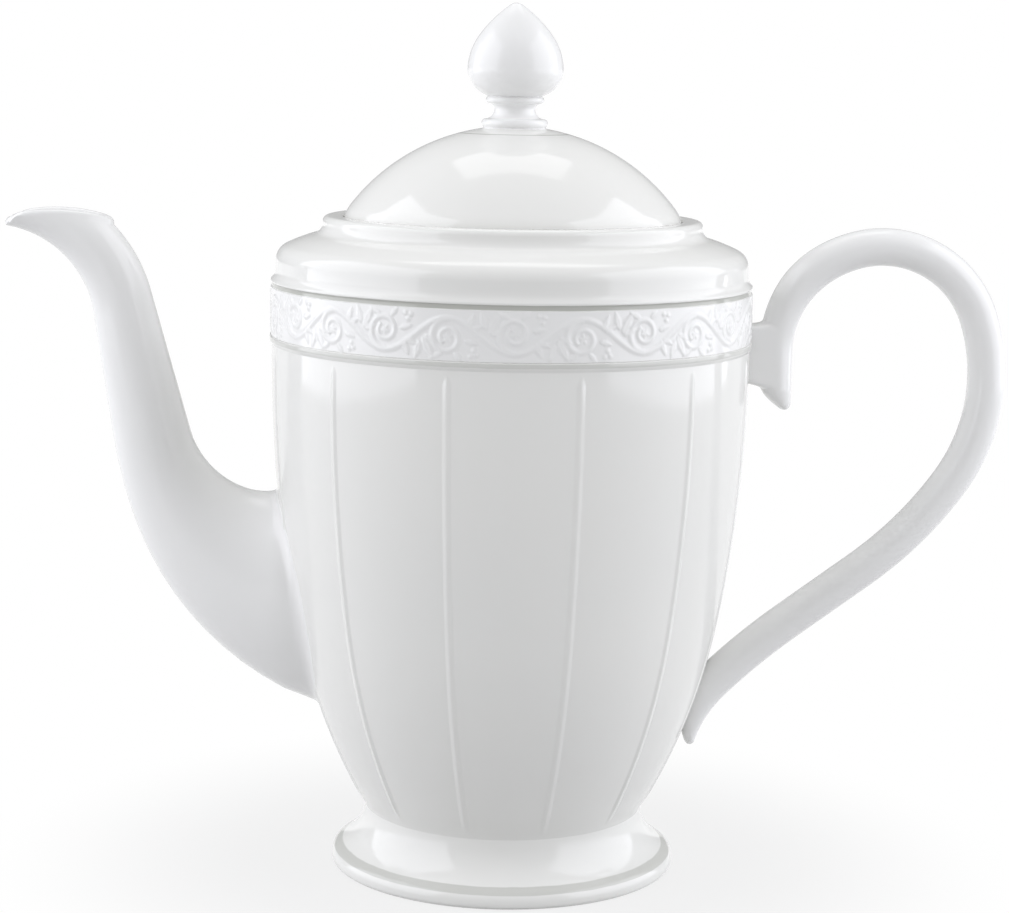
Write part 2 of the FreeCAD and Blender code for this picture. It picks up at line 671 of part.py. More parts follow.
def handle_stations():
    """Place, slope and size of each section from the free tail to the lower tail."""
    strap = ("strap_thickness", "strap_width")

    def even(step):
        return strap

    def thickening(step):
        share = min(1, step / TOP_THICKENING)
        return between("hook_thickness", strap[0], share), between("hook_width", strap[1], share)

    def narrowing(step):
        share = (step / TAIL_STEPS) ** 2
        return between(strap[0], "tail_thickness", share), between(strap[1], "tail_width", share)

    stations = hook_stations()
    add_bend(stations, "-top_end_fall", "top_curve", -1, TOP_STEPS, thickening)
    add_bend(stations, "-side_end_fall", "side_curve", -1, SIDE_STEPS, even)
    add_bend(stations, "-low_end_fall", "low_curve", -1, LOW_STEPS, even)
    low = stations[-1][0]
    low_run = "(%s - belly_mid_radius - low_run_end) / cos(180 - low_end_fall)" % low[0]
    for step in range(1, RUN_STEPS + 1):
        place = run_point(*low, "-low_end_fall", "%s * %.4f" % (low_run, step / RUN_STEPS))
        stations.append((place, "-low_end_fall", *strap))
    add_bend(stations, "-root_end_fall", "root_curve", 1, ROOT_BEND_STEPS, even)
    add_bend(stations, "-tail_end_fall", "tail_curve", 1, TAIL_STEPS, narrowing)
    return stations


def make_handle(envelope):
    body = new_body("handle_form")
    sections = []
    for index, (place, rise, thickness, width) in enumerate(handle_stations()):
        sections.append(oval(body, "handle_%d" % index, *place, rise, thickness, width, False))
    loft(body, "strap", sections)
    web = body.newObject("Sketcher::SketchObject", "web_section")
    attach(body, web, "YZ_Plane")
    web.setExpression("AttachmentOffset.Base.y", cells("web_middle_height"))
    web.setExpression("AttachmentOffset.Base.z", cells("belly_top_radius - web_buried"))
    ends = Vector(0, number("web_height") / 2, 0), Vector(number("web_width") / 2, 0, 0)
    edge = web.addGeometry(Part.Ellipse(*ends, Vector()))
    web.exposeInternalGeometry(edge)
    web.addConstraint(Sketcher.Constraint("Coincident", edge, 3, -1, 1))
    web.addConstraint(Sketcher.Constraint("Vertical", edge + 1))
    bind(web, Sketcher.Constraint("Distance", edge + 1, number("web_height")), "web_height")
    bind(web, Sketcher.Constraint("Distance", edge + 2, number("web_width")), "web_width")
    doc.recompute()
    pad = body.newObject("PartDesign::Pad", "web")
    pad.Profile = web
    pad.setExpression("Length", cells("hook_out + web_buried"))
    doc.recompute()
    return cut("handle", body, envelope)


# Lid

DOME_TOP = SEAT + " + dome_rise"
DOME_CENTRE = DOME_TOP + " - dome_curve"


def on_dome(radius, offset):
    """Height of a sphere concentric with the dome, at a radius from the axis."""
    return "%s + sqrt(pow(dome_curve + %s; 2) - pow(%s; 2))" % (DOME_CENTRE, offset, radius)


def make_lid():
    body = new_body("lid")
    rim = "mouth_radius + lid_seat_width"
    inner = "mouth_radius - lid_gap - collar_wall"
    outline = Outline(body, "lid_outline", "0", DOME_TOP + " - dome_wall")
    outline.arc(inner, on_dome("(%s)" % inner, "-dome_wall"), "dome_curve - dome_wall", -1)
    outline.line(inner + " - collar_taper", SEAT + " - collar_depth")
    outline.line("mouth_radius - lid_gap - collar_taper", SEAT + " - collar_depth")
    outline.line("mouth_radius - lid_gap", SEAT)
    outline.line(rim, SEAT)
    edge = on_dome("(%s - lid_edge)" % rim, "0")
    outline.line(rim, edge + " - lid_edge")
    outline.arc(rim + " - lid_edge", edge)
    outline.arc("0", DOME_TOP, "dome_curve", 1)
    outline.close()
    revolve(body, outline)
    return body


def make_lid_knob():
    """The pointed knob, from its tip down to the dome it is stuck on."""
    body = new_body("lid_knob")
    outline = Outline(body, "knob_outline", "0", DOME_TOP + " + knob_height")
    outline.arc("tip_reach", DOME_TOP + " + knob_height - tip_fall", "tip_curve", -1)
    outline.line("bulb_turn_radius", DOME_TOP + " + bulb_turn_rise")
    outline.arc("bulb_radius", DOME_TOP + " + bulb_rise")
    outline.arc("knob_collar_edge", DOME_TOP + " + knob_collar_top")
    outline.arc("knob_collar_edge", DOME_TOP + " + knob_collar_low", "knob_collar_round", -1)
    outline.arc("knob_neck_radius", DOME_TOP + " + knob_neck_rise", "knob_throat_curve", 1)
    outline.arc("knob_ring_edge", DOME_TOP + " + knob_ring_rise", "knob_neck_curve", 1)
    outline.arc("knob_ring_edge", on_dome("knob_ring_edge", "slip_joint"), "knob_ring_round", -1)
    outline.arc("0", DOME_TOP + " + slip_joint", "dome_curve + slip_joint", 1)
    outline.close()
    revolve(body, outline)
    return body


def check_and_write(parts):
    doc.recompute()
    for item in doc.Objects:
        if "Invalid" in item.State or "Error" in item.State:
            raise RuntimeError("%s failed: %s" % (item.Name, item.State))
    for part in parts:
        if part.Shape.isNull() or not part.Shape.isValid():
            raise RuntimeError("%s has no valid shape" % part.Label)
    for part in parts:
        part.Shape.exportStep("parts/%s.step" % part.Label)
        print(part.Label, "volume %.1f" % part.Shape.Volume, "solids %d" % len(part.Shape.Solids))


foot = make_foot()
vessel = make_vessel()
envelope = make_envelope()
pot_body = make_pot_body(vessel)
spout = make_spout(envelope)
handle = make_handle(envelope)
lid = make_lid()
lid_knob = make_lid_knob()
check_and_write((pot_body, foot, spout, handle, lid, lid_knob))
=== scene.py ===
"""A white porcelain coffee pot on a turned foot, with a ribbed wall, a relief frieze and a lift-off lid."""

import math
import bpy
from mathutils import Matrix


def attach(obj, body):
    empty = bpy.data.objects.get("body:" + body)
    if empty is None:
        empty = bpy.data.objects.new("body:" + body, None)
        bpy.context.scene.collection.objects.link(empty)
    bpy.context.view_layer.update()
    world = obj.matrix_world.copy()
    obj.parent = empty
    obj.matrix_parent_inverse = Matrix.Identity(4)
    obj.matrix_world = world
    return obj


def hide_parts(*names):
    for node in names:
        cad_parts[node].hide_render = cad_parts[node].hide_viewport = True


bl_info = {
    "name": "Porcelain coffee pot",
    "version": (1, 0, 0),
    "blender": (4, 5, 0),
    "location": "3D View > Sidebar > Coffee pot",
    "description": "Models a footed porcelain coffee pot with its lid, and a small studio round it",
    "category": "Add Mesh",
}

import bmesh
import bpy
from mathutils import Matrix, Vector

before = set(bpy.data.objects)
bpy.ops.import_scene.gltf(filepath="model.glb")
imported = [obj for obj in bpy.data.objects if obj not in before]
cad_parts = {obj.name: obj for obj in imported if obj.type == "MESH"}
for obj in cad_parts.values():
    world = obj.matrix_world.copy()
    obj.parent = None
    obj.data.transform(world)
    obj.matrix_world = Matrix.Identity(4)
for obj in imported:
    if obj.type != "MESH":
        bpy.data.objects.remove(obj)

MM = 0.001
ORIGIN = (0.0, 0.0, 0.0)
UPRIGHT = (0.0, 0.0, 1.0)
WHITE = (1.0, 1.0, 1.0)
FULL_TURN = 2 * math.pi

# Mesh columns round a turned piece
ROUND_STEPS = 192
KNOB_STEPS = 128

# Corners of an outline: least angle to be rounded, share of a side that a rounding may take, its points
CORNER_ANGLE = math.radians(22)
CORNER_SHARE = 0.45
CORNER_POINTS = (0.0, 0.3, 0.7, 1.0)

MERGE_DISTANCE = 0.004 * MM
SMOOTH_ANGLE = math.radians(40)

# Glaze: its clouds, its faint ripple and its refraction
CLOUD_SCALE, CLOUD_DETAIL = 22.0, 2.0
RIPPLE_SCALE, RIPPLE_DETAIL = 75.0, 1.0
RIPPLE_STRENGTH, RIPPLE_HEIGHT = 0.12, 0.4 * MM
GLAZE_IOR = 1.52

# Painted lines: scale and width of the wander of their edges, softness of an edge
WANDER_SCALE, WANDER_WIDTH = 160.0, 0.25 * MM
PAINT_EDGE = 0.14 * MM

# A surface that faces further inwards than this is the inside of a wall
INWARD = -20 * MM


# Settings


def length(name, value, description):
    """A length, given in millimetres and kept in metres."""
    return bpy.props.FloatProperty(
        name=name, description=description, default=value * MM, unit="LENGTH", precision=5
    )


def turn(name, value, description):
    """An angle, given in degrees and kept in radians."""
    return bpy.props.FloatProperty(
        name=name, description=description, default=math.radians(value), unit="ROTATION"
    )


def spot(name, value, description):
    """A place, given in millimetres and kept in metres."""
    return bpy.props.FloatVectorProperty(
        name=name,
        description=description,
        default=[part * MM for part in value],
        size=3,
        subtype="TRANSLATION",
        unit="LENGTH",
    )


def amount(name, value, description):
    return bpy.props.FloatProperty(name=name, description=description, default=value, precision=4)


def count(name, value, description):
    return bpy.props.IntProperty(name=name, description=description, default=value, min=1)


def colour(name, value, description):
    return bpy.props.FloatVectorProperty(
        name=name, description=description, default=value, size=3, subtype="COLOR", min=0.0, max=1.0
    )


class FootSizes(bpy.types.PropertyGroup):
    rim_radius: length("Rim radius", 48.3, "Outside of the foot ring")
    rim_height: length("Rim height", 1.8, "Upright part of the foot ring")
    lip_radius: length("Lip radius", 46.4, "Inner end of the ring's rounded upper edge")
    lip_height: length("Lip height", 4.8, "Height of that end")
    flare_curve: length("Flare curve", 13.9, "Curve radius of the hollow flare from there up to the neck")
    edge_round: length("Edge rounding", 1.2, "Lower outer edge")
    rest_width: length("Rest width", 3.4, "Ring the pot stands on")
    wall: length("Wall", 4.2, "Wall of the hollow foot")
    neck_radius: length("Neck radius", 39.0, "Narrowest place, where the foot meets the vessel")
    neck_height: length("Neck height", 16.6, "Height of that place")
    line_height: length("Line height", 4.65, "Middle of the painted line")
    line_width: length("Line width", 1.7, "Width of the painted line, upwards")
    line_strength: amount("Line strength", 0.6, "How dense the painted line is, from 0 to 1")


class VesselSizes(bpy.types.PropertyGroup):
    flare_radius: length("Flare radius", 39.9, "End of the curve above the neck")
    flare_height: length("Flare height", 18.4, "Height of that end")
    mid_radius: length("Middle radius", 60.05, "Change from the lower to the upper curve")
    mid_height: length("Middle height", 74.5, "Height of that change")
    top_radius: length("Top radius", 65.9, "Top of the ribbed wall")
    top_height: length("Top height", 147.0, "Height of that top")
    upper_curve: length("Upper curve", 405.0, "Curve radius of the upper wall")
    ledge_out: length("Ledge", 0.6, "How far the painted ledge stands out from the wall")
    ledge_slope: length("Ledge slope", 0.9, "Height of the slope under the ledge")
    ledge_height: length("Ledge height", 1.4, "Upright part of the ledge")
    frieze_height: length("Frieze height", 13.4, "Height of the band with the relief")
    groove_height: length("Groove height", 1.0, "Painted groove over the frieze")
    bead_height: length("Bead height", 3.4, "Flared bead over the groove")
    bead_out: length("Bead flare", 1.0, "How far the bead flares out from the band")
    bead_lip: length("Bead lip", 1.0, "Height of the bead's rounded lip")
    bead_curve: length("Bead curve", 0.6, "Curve radius of the lip")
    band_radius: length("Band radius", 65.05, "Plain band over the bead")
    band_height: length("Band height", 2.6, "Height of the plain band")
    corner_in: length("Corner in", 2.9, "Rounded corner of the shoulder, inwards")
    corner_up: length("Corner up", 4.2, "Rounded corner of the shoulder, upwards")
    shoulder_curve: length("Shoulder curve", 50.0, "Curve radius of the sloping shoulder")
    shoulder_radius: length("Shoulder end radius", 54.4, "Inner end of the shoulder")
    shoulder_height: length("Shoulder end height", 176.8, "Height of that end")
    gallery_radius: length("Gallery radius", 52.2, "Outside of the raised ring round the lid")
    cove_height: length("Cove height", 179.7, "Upper end of the cove under that ring")
    gallery_height: length("Gallery height", 181.8, "Top of the ring")
    gallery_round: length("Gallery rounding", 1.6, "Outer rounding of the ring")
    seat_height: length("Seat height", 179.4, "Ledge the lid sits on")
    mouth_radius: length("Mouth radius", 42.6, "Opening inside that ledge")
    mouth_depth: length("Mouth depth", 3.6, "Upright wall of the opening")
    wall: length("Wall", 3.6, "Wall of the vessel")
    floor: length("Floor", 4.0, "Floor of the vessel")
    floor_round: length("Floor rounding", 6.0, "Rounding between floor and wall")
    soft_edge: length("Soft edge", 0.45, "Rounding that the glaze gives each edge")
    ribs: count("Ribs", 12, "Fine upright ribs round the vessel")
    rib_half: length("Rib half width", 1.35, "From the middle of a rib to its edge")
    rib_rise: length("Rib rise", 0.33, "How far a rib stands out from the wall")
    rib_gap: length("Rib gap", 1.6, "Plain wall between a rib and the ledge")
    rib_round: length("Rib end", 2.2, "Rounded upper end of a rib")
    rib_low: length("Rib low end", 18.0, "Height at which a rib has died out")
    rib_fade: length("Rib fade", 5.0, "Length over which it dies out")
    hole_radius: length("Spout hole", 13.0, "Hole from the vessel into the spout")
    low_line: length("Lower line", 148.55, "Middle of the painted line under the frieze")
    low_line_width: length("Lower line width", 1.2, "Width of that line")
    low_line_strength: amount("Lower line strength", 0.5, "How dense that line is, from 0 to 1")
    high_line: length("Upper line", 163.3, "Middle of the painted line over the frieze")
    high_line_width: length("Upper line width", 1.3, "Width of that line")
    high_line_strength: amount("Upper line strength", 0.95, "How dense that line is, from 0 to 1")


class FriezeSizes(bpy.types.PropertyGroup):
    ground: length("Ground radius", 66.15, "Radius of the plain ground")
    rise: length("Relief", 0.26, "Height of the relief over its ground")
    margin: length("Margin", 0.9, "Edge of the band over which the relief dies out")
    stem_swing: length("Stem swing", 4.4, "How far the running stem swings up and down")
    stem_half: length("Stem half width", 1.1, "Half width of the running stem")
    scroll_radius: length("Scroll radius", 4.9, "Outer radius of a scroll")
    scroll_lift: length("Scroll lift", 0.6, "Middle of a scroll over the middle of the band")
    scroll_decay: amount("Scroll decay", 0.12, "How fast a scroll closes in")
    scroll_turns: amount("Scroll turns", 1.4, "Turns of a scroll")
    flower_radius: length("Flower radius", 1.9, "Flower in the middle of a scroll")
    petals: count("Petals", 5, "Petals of a flower")
    leaf_length: length("Leaf length", 6.4, "Length of a leaf")
    leaf_half: length("Leaf half width", 1.8, "Half width of a leaf")
    berry_radius: length("Berry radius", 0.95, "Berries between the scrolls")
    columns: count("Columns", 132, "Mesh columns in one repeat")
    rows: count("Rows", 48, "Mesh rows over the height")


class SpoutSizes(bpy.types.PropertyGroup):
    root_reach: length("Root reach", 62.0, "Start of the middle line, from the pot's axis")
    root_height: length("Root height", 76.4, "Height of that start")
    root_rise: turn("Root rise", 20.6, "Slope of the middle line there")
    root_curve: length("Root curve", 59.0, "Curve radius of the lower bend")
    stem_rise: turn("Stem rise", 77.7, "Slope of the straight stem")
    stem_length: length("Stem length", 38.5, "Length of the stem")
    lip_curve: length("Lip curve", 35.6, "Curve radius of the upper bend")
    lip_rise: turn("Lip rise", 9.4, "Slope of the lip")
    root_lift: length("Root lift", 0.9, "How far the root lies over the middle line")
    root_depth: length("Root depth", 57.0, "Root, seen from the side")
    root_width: length("Root width", 42.0, "Root, seen from the front")
    foot_depth: length("Foot depth", 21.4, "Lower end of the stem, from the side")
    foot_width: length("Foot width", 20.4, "Lower end of the stem, from the front")
    stem_depth: length("Stem depth", 16.8, "Upper end of the stem, from the side")
    stem_width: length("Stem width", 16.2, "Upper end of the stem, from the front")
    tip_depth: length("Tip depth", 14.4, "Tip, from the side")
    tip_width: length("Tip width", 14.0, "Tip, from the front")
    flare_power: amount("Flare", 1.62, "How fast the root opens out")
    wall: length("Wall", 2.6, "Wall of the spout")
    fillet_top: length("Upper fillet", 1.8, "Smooth blend onto the vessel, over the spout")
    fillet_side: length("Side fillet", 3.0, "How much larger that blend is beside the spout")
    fillet_low: length("Lower fillet", 1.6, "Smooth blend onto the vessel, under the spout")
    sink: length("Sink", 0.12, "How far the edge of that blend lies in the vessel's wall")
    rim_height: length("Rim height", 182.35, "Highest place of the rim")
    crown_reach: length("Crown reach", 125.0, "That place, from the pot's axis")
    crown: length("Crown", 54.6, "Curve radius of the rim, seen from the side")
    lip_reach: length("Lip reach", 139.4, "End of the lip, from the pot's axis")
    lip_round: length("Lip rounding", 7.6, "Rounded end of the lip, from above")
    rim_round: length("Rim rounding", 1.0, "How far the rim is rounded up between its edges")
    back_round: length("Back rounding", 2.2, "How far it is rounded up at the back of the mouth")
    nose_round: length("Nose rounding", 1.7, "Rounding between the rim and the lip's end, from the side")
    sides: count("Sides", 64, "Points round a section")


class HandleSizes(bpy.types.PropertyGroup):
    hook_reach: length("Hook reach", 74.0, "Upright run of the strap beside the vessel")
    tip_height: length("Tip height", 130.0, "Lower tip of the free tail")
    tail_height: length("Tail height", 5.5, "Height of the free tail, up to the upright run")
    tail_draw: length("Tail draw", 5.4, "How far the free tail's inner side draws in towards its tip")
    tail_bow: amount("Tail bow", 1.5, "How it draws in, from straight at 1 to bowed")
    hook_top: length("Hook top", 146.9, "Start of the upper bend")
    top_curve: length("Top curve", 28.5, "Curve radius of the upper bend")
    top_end: turn("Top end", 70.4, "Slope at its end, below level")
    side_curve: length("Side curve", 51.7, "Curve radius of the outer side")
    side_end: turn("Side end", 124.8, "Direction at its end, below level")
    low_curve: length("Low curve", 108.3, "Curve radius of the lower side")
    low_end: turn("Low end", 143.2, "Direction at its end, below level")
    low_run: length("Low run", 25.0, "Straight run towards the vessel")
    root_curve: length("Root curve", 186.6, "Curve radius of the last stretch")
    root_end: turn("Root end", 135.1, "Direction at its end, below level")
    tail_curve: length("Tail curve", 22.0, "Curve radius of the lower tail")
    tail_end: turn("Tail end", 86.0, "Direction at its end, below level")
    thickness: length("Thickness", 10.4, "Strap, seen from the side")
    width: length("Width", 12.4, "Strap, seen from the front")
    hook_thickness: length("Hook thickness", 8.4, "Upright run, from the side")
    hook_width: length("Hook width", 11.0, "Upright run, from the front")
    tip_width: length("Tip width", 5.0, "Tip of the free tail, from the front")
    tail_thickness: length("Tail thickness", 3.3, "End of the lower tail, from the side")
    tail_width: length("Tail width", 6.4, "End of the lower tail, from the front")
    swell: length("Swell", 0.9, "How much thicker the start of the upper bend is on its outer side")
    web_height: length("Web height", 145.2, "Middle of the web to the vessel")
    web_half: length("Web half height", 8.2, "From its middle to its edge")
    web_side: amount("Web side", 0.1, "Where the web starts, from 0 at a section's side to 1 at the vessel")
    web_blend: amount("Web blend", 0.55, "Width of the blend from strap to web, in the same measure")
    web_fade: length("Web rounding", 2.4, "Rounding from the web into the strap")
    web_out: length("Web length", 2.2, "From the strap to the middle of the web's edge")
    web_reach: length("Web reach", 62.5, "Inner end of the web, in the vessel's wall")
    sides: count("Sides", 40, "Points round a section")
    spacing: length("Spacing", 2.2, "Distance between sections")
    fine_spacing: length("Fine spacing", 0.7, "Distance between sections near the web")


class LidSizes(bpy.types.PropertyGroup):
    dome_curve: length("Dome curve", 56.2, "Outside curve radius of the dome")
    dome_height: length("Dome height", 206.8, "Top of the dome under the knob")
    dome_wall: length("Dome wall", 3.4, "Wall of the dome")
    seat_width: length("Seat width", 3.8, "Rim of the lid over the ledge")
    gap: length("Gap", 0.12, "Play of the lid in the gallery and in the mouth")
    edge: length("Edge", 1.7, "How far the rounding between rim and dome goes in")
    collar_depth: length("Collar depth", 13.0, "Collar that goes down into the mouth")
    collar_wall: length("Collar wall", 3.2, "Wall of that collar")
    collar_taper: length("Collar taper", 0.8, "How far the collar draws in")
    line_radius: length("Line radius", 14.9, "Painted line round the knob")
    line_width: length("Line width", 0.55, "Width of that line")
    line_strength: amount("Line strength", 1.0, "How dense that line is, from 0 to 1")


class KnobSizes(bpy.types.PropertyGroup):
    ring_edge: length("Ring", 8.45, "Edges of the lower ring, from the axis")
    ring_round: length("Ring rounding", 1.25, "Curve radius of the lower ring")
    ring_top: length("Ring top", 208.65, "Upper edge of the lower ring")
    neck_radius: length("Neck radius", 5.6, "Narrowest place of the knob")
    neck_height: length("Neck height", 210.9, "Height of that place")
    neck_curve: length("Neck curve", 2.6, "Curve radius under that place")
    throat_curve: length("Throat curve", 1.6, "Curve radius over that place")
    collar_edge: length("Collar", 7.2, "Edges of the ring under the bulb, from the axis")
    collar_round: length("Collar rounding", 0.96, "Curve radius of that ring")
    collar_low: length("Collar low", 212.9, "Lower edge of that ring")
    collar_top: length("Collar top", 214.8, "Upper edge of that ring")
    bulb_radius: length("Bulb radius", 13.05, "Widest place of the bulb")
    bulb_height: length("Bulb height", 223.3, "Height of that place")
    turn_radius: length("Shoulder radius", 9.92, "Lower end of the flatter curve under the tip")
    turn_height: length("Shoulder height", 231.4, "Height of that end")
    tip_reach: length("Tip reach", 1.6, "End of the rounded tip, from the axis")
    tip_fall: length("Tip fall", 0.5, "Height of the rounded tip")
    tip_curve: length("Tip curve", 2.79, "Curve radius of the tip")
    total_height: length("Total height", 240.0, "Top of the knob")
    skirt: length("Skirt", 0.8, "Glaze in the corner between the lower ring and the dome")
    smoothing: count("Smoothing", 5, "How often the turned knob is smoothed")


class GlazeLooks(bpy.types.PropertyGroup):
    pale: colour("Pale", (0.825, 0.822, 0.795), "Glaze where it is thin")
    deep: colour("Deep", (0.795, 0.797, 0.778), "Glaze where it has pooled")
    line: colour("Line", (0.46, 0.465, 0.43), "Painted lines")
    roughness: amount("Roughness", 0.09, "Gloss of the glaze")


class StageLooks(bpy.types.PropertyGroup):
    eye: spot("Camera place", (-12.6, -721.0, 227.6), "Where the photographed view is taken from")
    swing: turn("Swing", 0.91, "How far the camera looks to the right of +Y")
    pitch: turn("Pitch", 8.85, "How far it looks down")
    roll: turn("Roll", 1.02, "How far it leans to the left")
    lens: amount("Lens", 93.45, "Focal length in millimetres")
    sensor: amount("Sensor", 36.0, "Width of the camera's sensor in millimetres")
    side_power: amount("Side lights", 10.3, "Power of each side light in watts")
    side_tone: colour("Side lights' tone", (0.935, 0.945, 1.0), "Cool white of the side lights")
    side_turn: turn("Side lights' turn", 83.0, "Direction of a side light, from the pot's front")
    side_reach: length("Side lights' distance", 850.0, "Distance of a side light from the pot's axis")
    side_middle: length("Side lights' middle", 660.0, "Height of the middle of a side light")
    side_width: length("Side lights' width", 1360.0, "Width of a side light")
    side_height: length("Side lights' height", 1300.0, "Height of a side light")
    top_power: amount("Top light", 0.75, "Power of the light overhead in watts")
    top_spot: spot("Top light's place", (0.0, 320.0, 950.0), "Middle of the light overhead, behind the pot")
    top_aim: spot("Top light's aim", (0.0, 0.0, 200.0), "Where it points")
    top_width: length("Top light's width", 560.0, "Its length across the view")
    top_depth: length("Top light's depth", 340.0, "Its length along the view")
    room: amount("Room light", 0.395, "Level of the pale room round the pot")
    ceiling: amount("Ceiling", 0.65, "Level of the room straight above")
    floor: colour("Floor", (0.48, 0.48, 0.48), "Pale floor")
    floor_size: length("Floor size", 12000.0, "Length of a side of the floor")
    floor_roughness: amount("Floor roughness", 0.7, "Mattness of the floor")
    shade_near: length("Shade near", 60.0, "Distance from the axis up to which the floor is shaded most")
    shade_far: length("Shade far", 150.0, "Distance from the axis from which the floor is white")
    shade_white: amount("Shade white", 0.78, "Share of pure white in the floor near the pot")


class CoffeePotSettings(bpy.types.PropertyGroup):
    foot: bpy.props.PointerProperty(type=FootSizes, name="Foot")
    vessel: bpy.props.PointerProperty(type=VesselSizes, name="Vessel")
    frieze: bpy.props.PointerProperty(type=FriezeSizes, name="Frieze")
    spout: bpy.props.PointerProperty(type=SpoutSizes, name="Spout")
    handle: bpy.props.PointerProperty(type=HandleSizes, name="Handle")
    lid: bpy.props.PointerProperty(type=LidSizes, name="Lid")
    knob: bpy.props.PointerProperty(type=KnobSizes, name="Knob")
    glaze: bpy.props.PointerProperty(type=GlazeLooks, name="Glaze")
    stage: bpy.props.PointerProperty(type=StageLooks, name="Stage")


# Outlines and turned pieces


def rotated(vector, angle):
    """A flat vector turned to the left by an angle."""
    cosine, sine = math.cos(angle), math.sin(angle)
    return Vector((vector.x * cosine - vector.y * sine, vector.x * sine + vector.y * cosine))


def swing_between(first, second):
    """The angle, to the left, from one flat direction to another."""
    return math.atan2(first.x * second.y - first.y * second.x, first.dot(second))


class Outline:
    """A line of points, in radius and height, that a piece is turned from."""

    def __init__(self, radius, height):
        self.points = [Vector((radius, height))]
        self.heading = None

    def line(self, radius, height, steps=1):
        start = self.points[-1]
        end = Vector((radius, height))
        self.heading = (end - start).normalized()
        self.points += [start.lerp(end, step / steps) for step in range(1, steps + 1)]

    def arc(self, radius, height, curve=None, side=1, steps=8, crowd=1.0):
        """An arc of a given curve radius to the left (1) or right (-1), or one that goes on smoothly."""
        start = self.points[-1]
        chord = Vector((radius, height)) - start
        if curve:
            bend = 2 * side * math.asin(min(1.0, chord.length / (2 * curve)))
        else:
            bend = 2 * swing_between(self.heading, chord)
        for step in range(1, steps + 1):
            share = (step / steps) ** crowd
            reach = math.sin(share * bend / 2) / math.sin(bend / 2)
            self.points.append(start + rotated(chord, (share - 1) * bend / 2) * reach)
        self.heading = rotated(chord.normalized(), bend / 2)

    def soften(self, size):
        """Rounds each corner of the line."""
        rounded = [self.points[0]]
        for before, corner, after in zip(self.points, self.points[1:], self.points[2:]):
            back, onward = before - corner, after - corner
            if abs(swing_between(-back, onward)) < CORNER_ANGLE:
                rounded.append(corner)
                continue
            first = corner + back.normalized() * min(size, CORNER_SHARE * back.length)
            last = corner + onward.normalized() * min(size, CORNER_SHARE * onward.length)
            for share in CORNER_POINTS:
                rounded.append(first.lerp(corner, share).lerp(corner.lerp(last, share), share))
        self.points = rounded + [self.points[-1]]


def select_only(piece):
    bpy.ops.object.select_all(action="DESELECT")
    piece.select_set(True)
    bpy.context.view_layer.objects.active = piece


def start_piece(name):
    """A new mesh object in edit mode, with nothing in it but one point at the origin."""
    bpy.ops.object.select_all(action="DESELECT")
    bpy.ops.mesh.primitive_plane_add(size=MM, location=ORIGIN)
    piece = bpy.context.object
    piece.name = name
    piece.data.name = name
    bpy.ops.object.mode_set(mode="EDIT")
    bpy.ops.mesh.select_mode(type="VERT")
    bpy.ops.mesh.select_all(action="SELECT")
    bpy.ops.mesh.merge(type="CENTER")
    return piece


def trace(name, outline):
    """Draws an outline in the X-Z plane by extruding one point along it."""
    piece = start_piece(name)
    here = outline.points[0]
    bpy.ops.transform.translate(value=(here.x, 0.0, here.y))
    for point in outline.points[1:]:
        step = point - here
        bpy.ops.mesh.extrude_region_move(TRANSFORM_OT_translate={"value": (step.x, 0.0, step.y)})
        here = point
    return piece


def clean_mesh():
    """Joins what lies on the same place and turns all faces outwards, in edit mode."""
    bpy.ops.mesh.select_all(action="SELECT")
    bpy.ops.mesh.remove_doubles(threshold=MERGE_DISTANCE)
    bpy.ops.mesh.normals_make_consistent(inside=False)


def spin_round(steps, angle=FULL_TURN, copies=False):
    bpy.ops.mesh.spin(steps=steps, angle=angle, dupli=copies, center=ORIGIN, axis=UPRIGHT)


def turned_piece(name, outline, steps):
    """A piece turned round the pot's axis."""
    piece = trace(name, outline)
    bpy.ops.mesh.select_all(action="SELECT")
    spin_round(steps)
    clean_mesh()
    bpy.ops.object.mode_set(mode="OBJECT")
    return piece


def apply_modifier(piece, kind, **settings):
    """Adds a modifier, sets it and applies it."""
    select_only(piece)
    bpy.ops.object.modifier_add(type=kind)
    modifier = piece.modifiers[-1]
    for setting, value in settings.items():
        setattr(modifier, setting, value)
    bpy.ops.object.modifier_apply(modifier=modifier.name)


def press(piece, weights, strength):
    """Moves the surface along its normals, by a share of the strength at each point."""
    group = piece.vertex_groups.new(name="pressed")
    for index, weight in weights.items():
        group.add([index], weight, "REPLACE")
    apply_modifier(piece, "DISPLACE", strength=strength, mid_level=0.0, vertex_group=group.name)
    piece.vertex_groups.clear()


def finish_piece(piece, body, material, node=None):
    """Smooth shading, material and the body the piece belongs to; hides the CAD part it stands in for, when
    one is named.
    """
    select_only(piece)
    bpy.ops.object.shade_smooth_by_angle(angle=SMOOTH_ANGLE)
    piece.data.materials.clear()
    piece.data.materials.append(material)
    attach(piece, body)
    if node:
        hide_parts(node)


# Swept pieces


def add_ring(piece, ring, join=True):
    """Adds a ring to a swept piece in edit mode and bridges it to the ring before."""
    sides = len(ring)
    bpy.ops.mesh.primitive_circle_add(vertices=sides, radius=MM, fill_type="NOTHING", location=ORIGIN)
    shape = bmesh.from_edit_mesh(piece.data)
    shape.verts.ensure_lookup_table()
    for vertex, place in zip(shape.verts[-sides:], ring):
        vertex.co = place
    if join:
        for vertex in shape.verts[-2 * sides:]:
            vertex.select = True
        shape.select_flush(True)
    bmesh.update_edit_mesh(piece.data)
    if join:
        bpy.ops.mesh.bridge_edge_loops()


def select_rings(piece, *spans):
    """Selects some of a swept piece's points in edit mode."""
    bpy.ops.mesh.select_all(action="DESELECT")
    shape = bmesh.from_edit_mesh(piece.data)
    shape.verts.ensure_lookup_table()
    for span in spans:
        for vertex in shape.verts[span]:
            vertex.select = True
    shape.select_flush(True)
    bmesh.update_edit_mesh(piece.data)


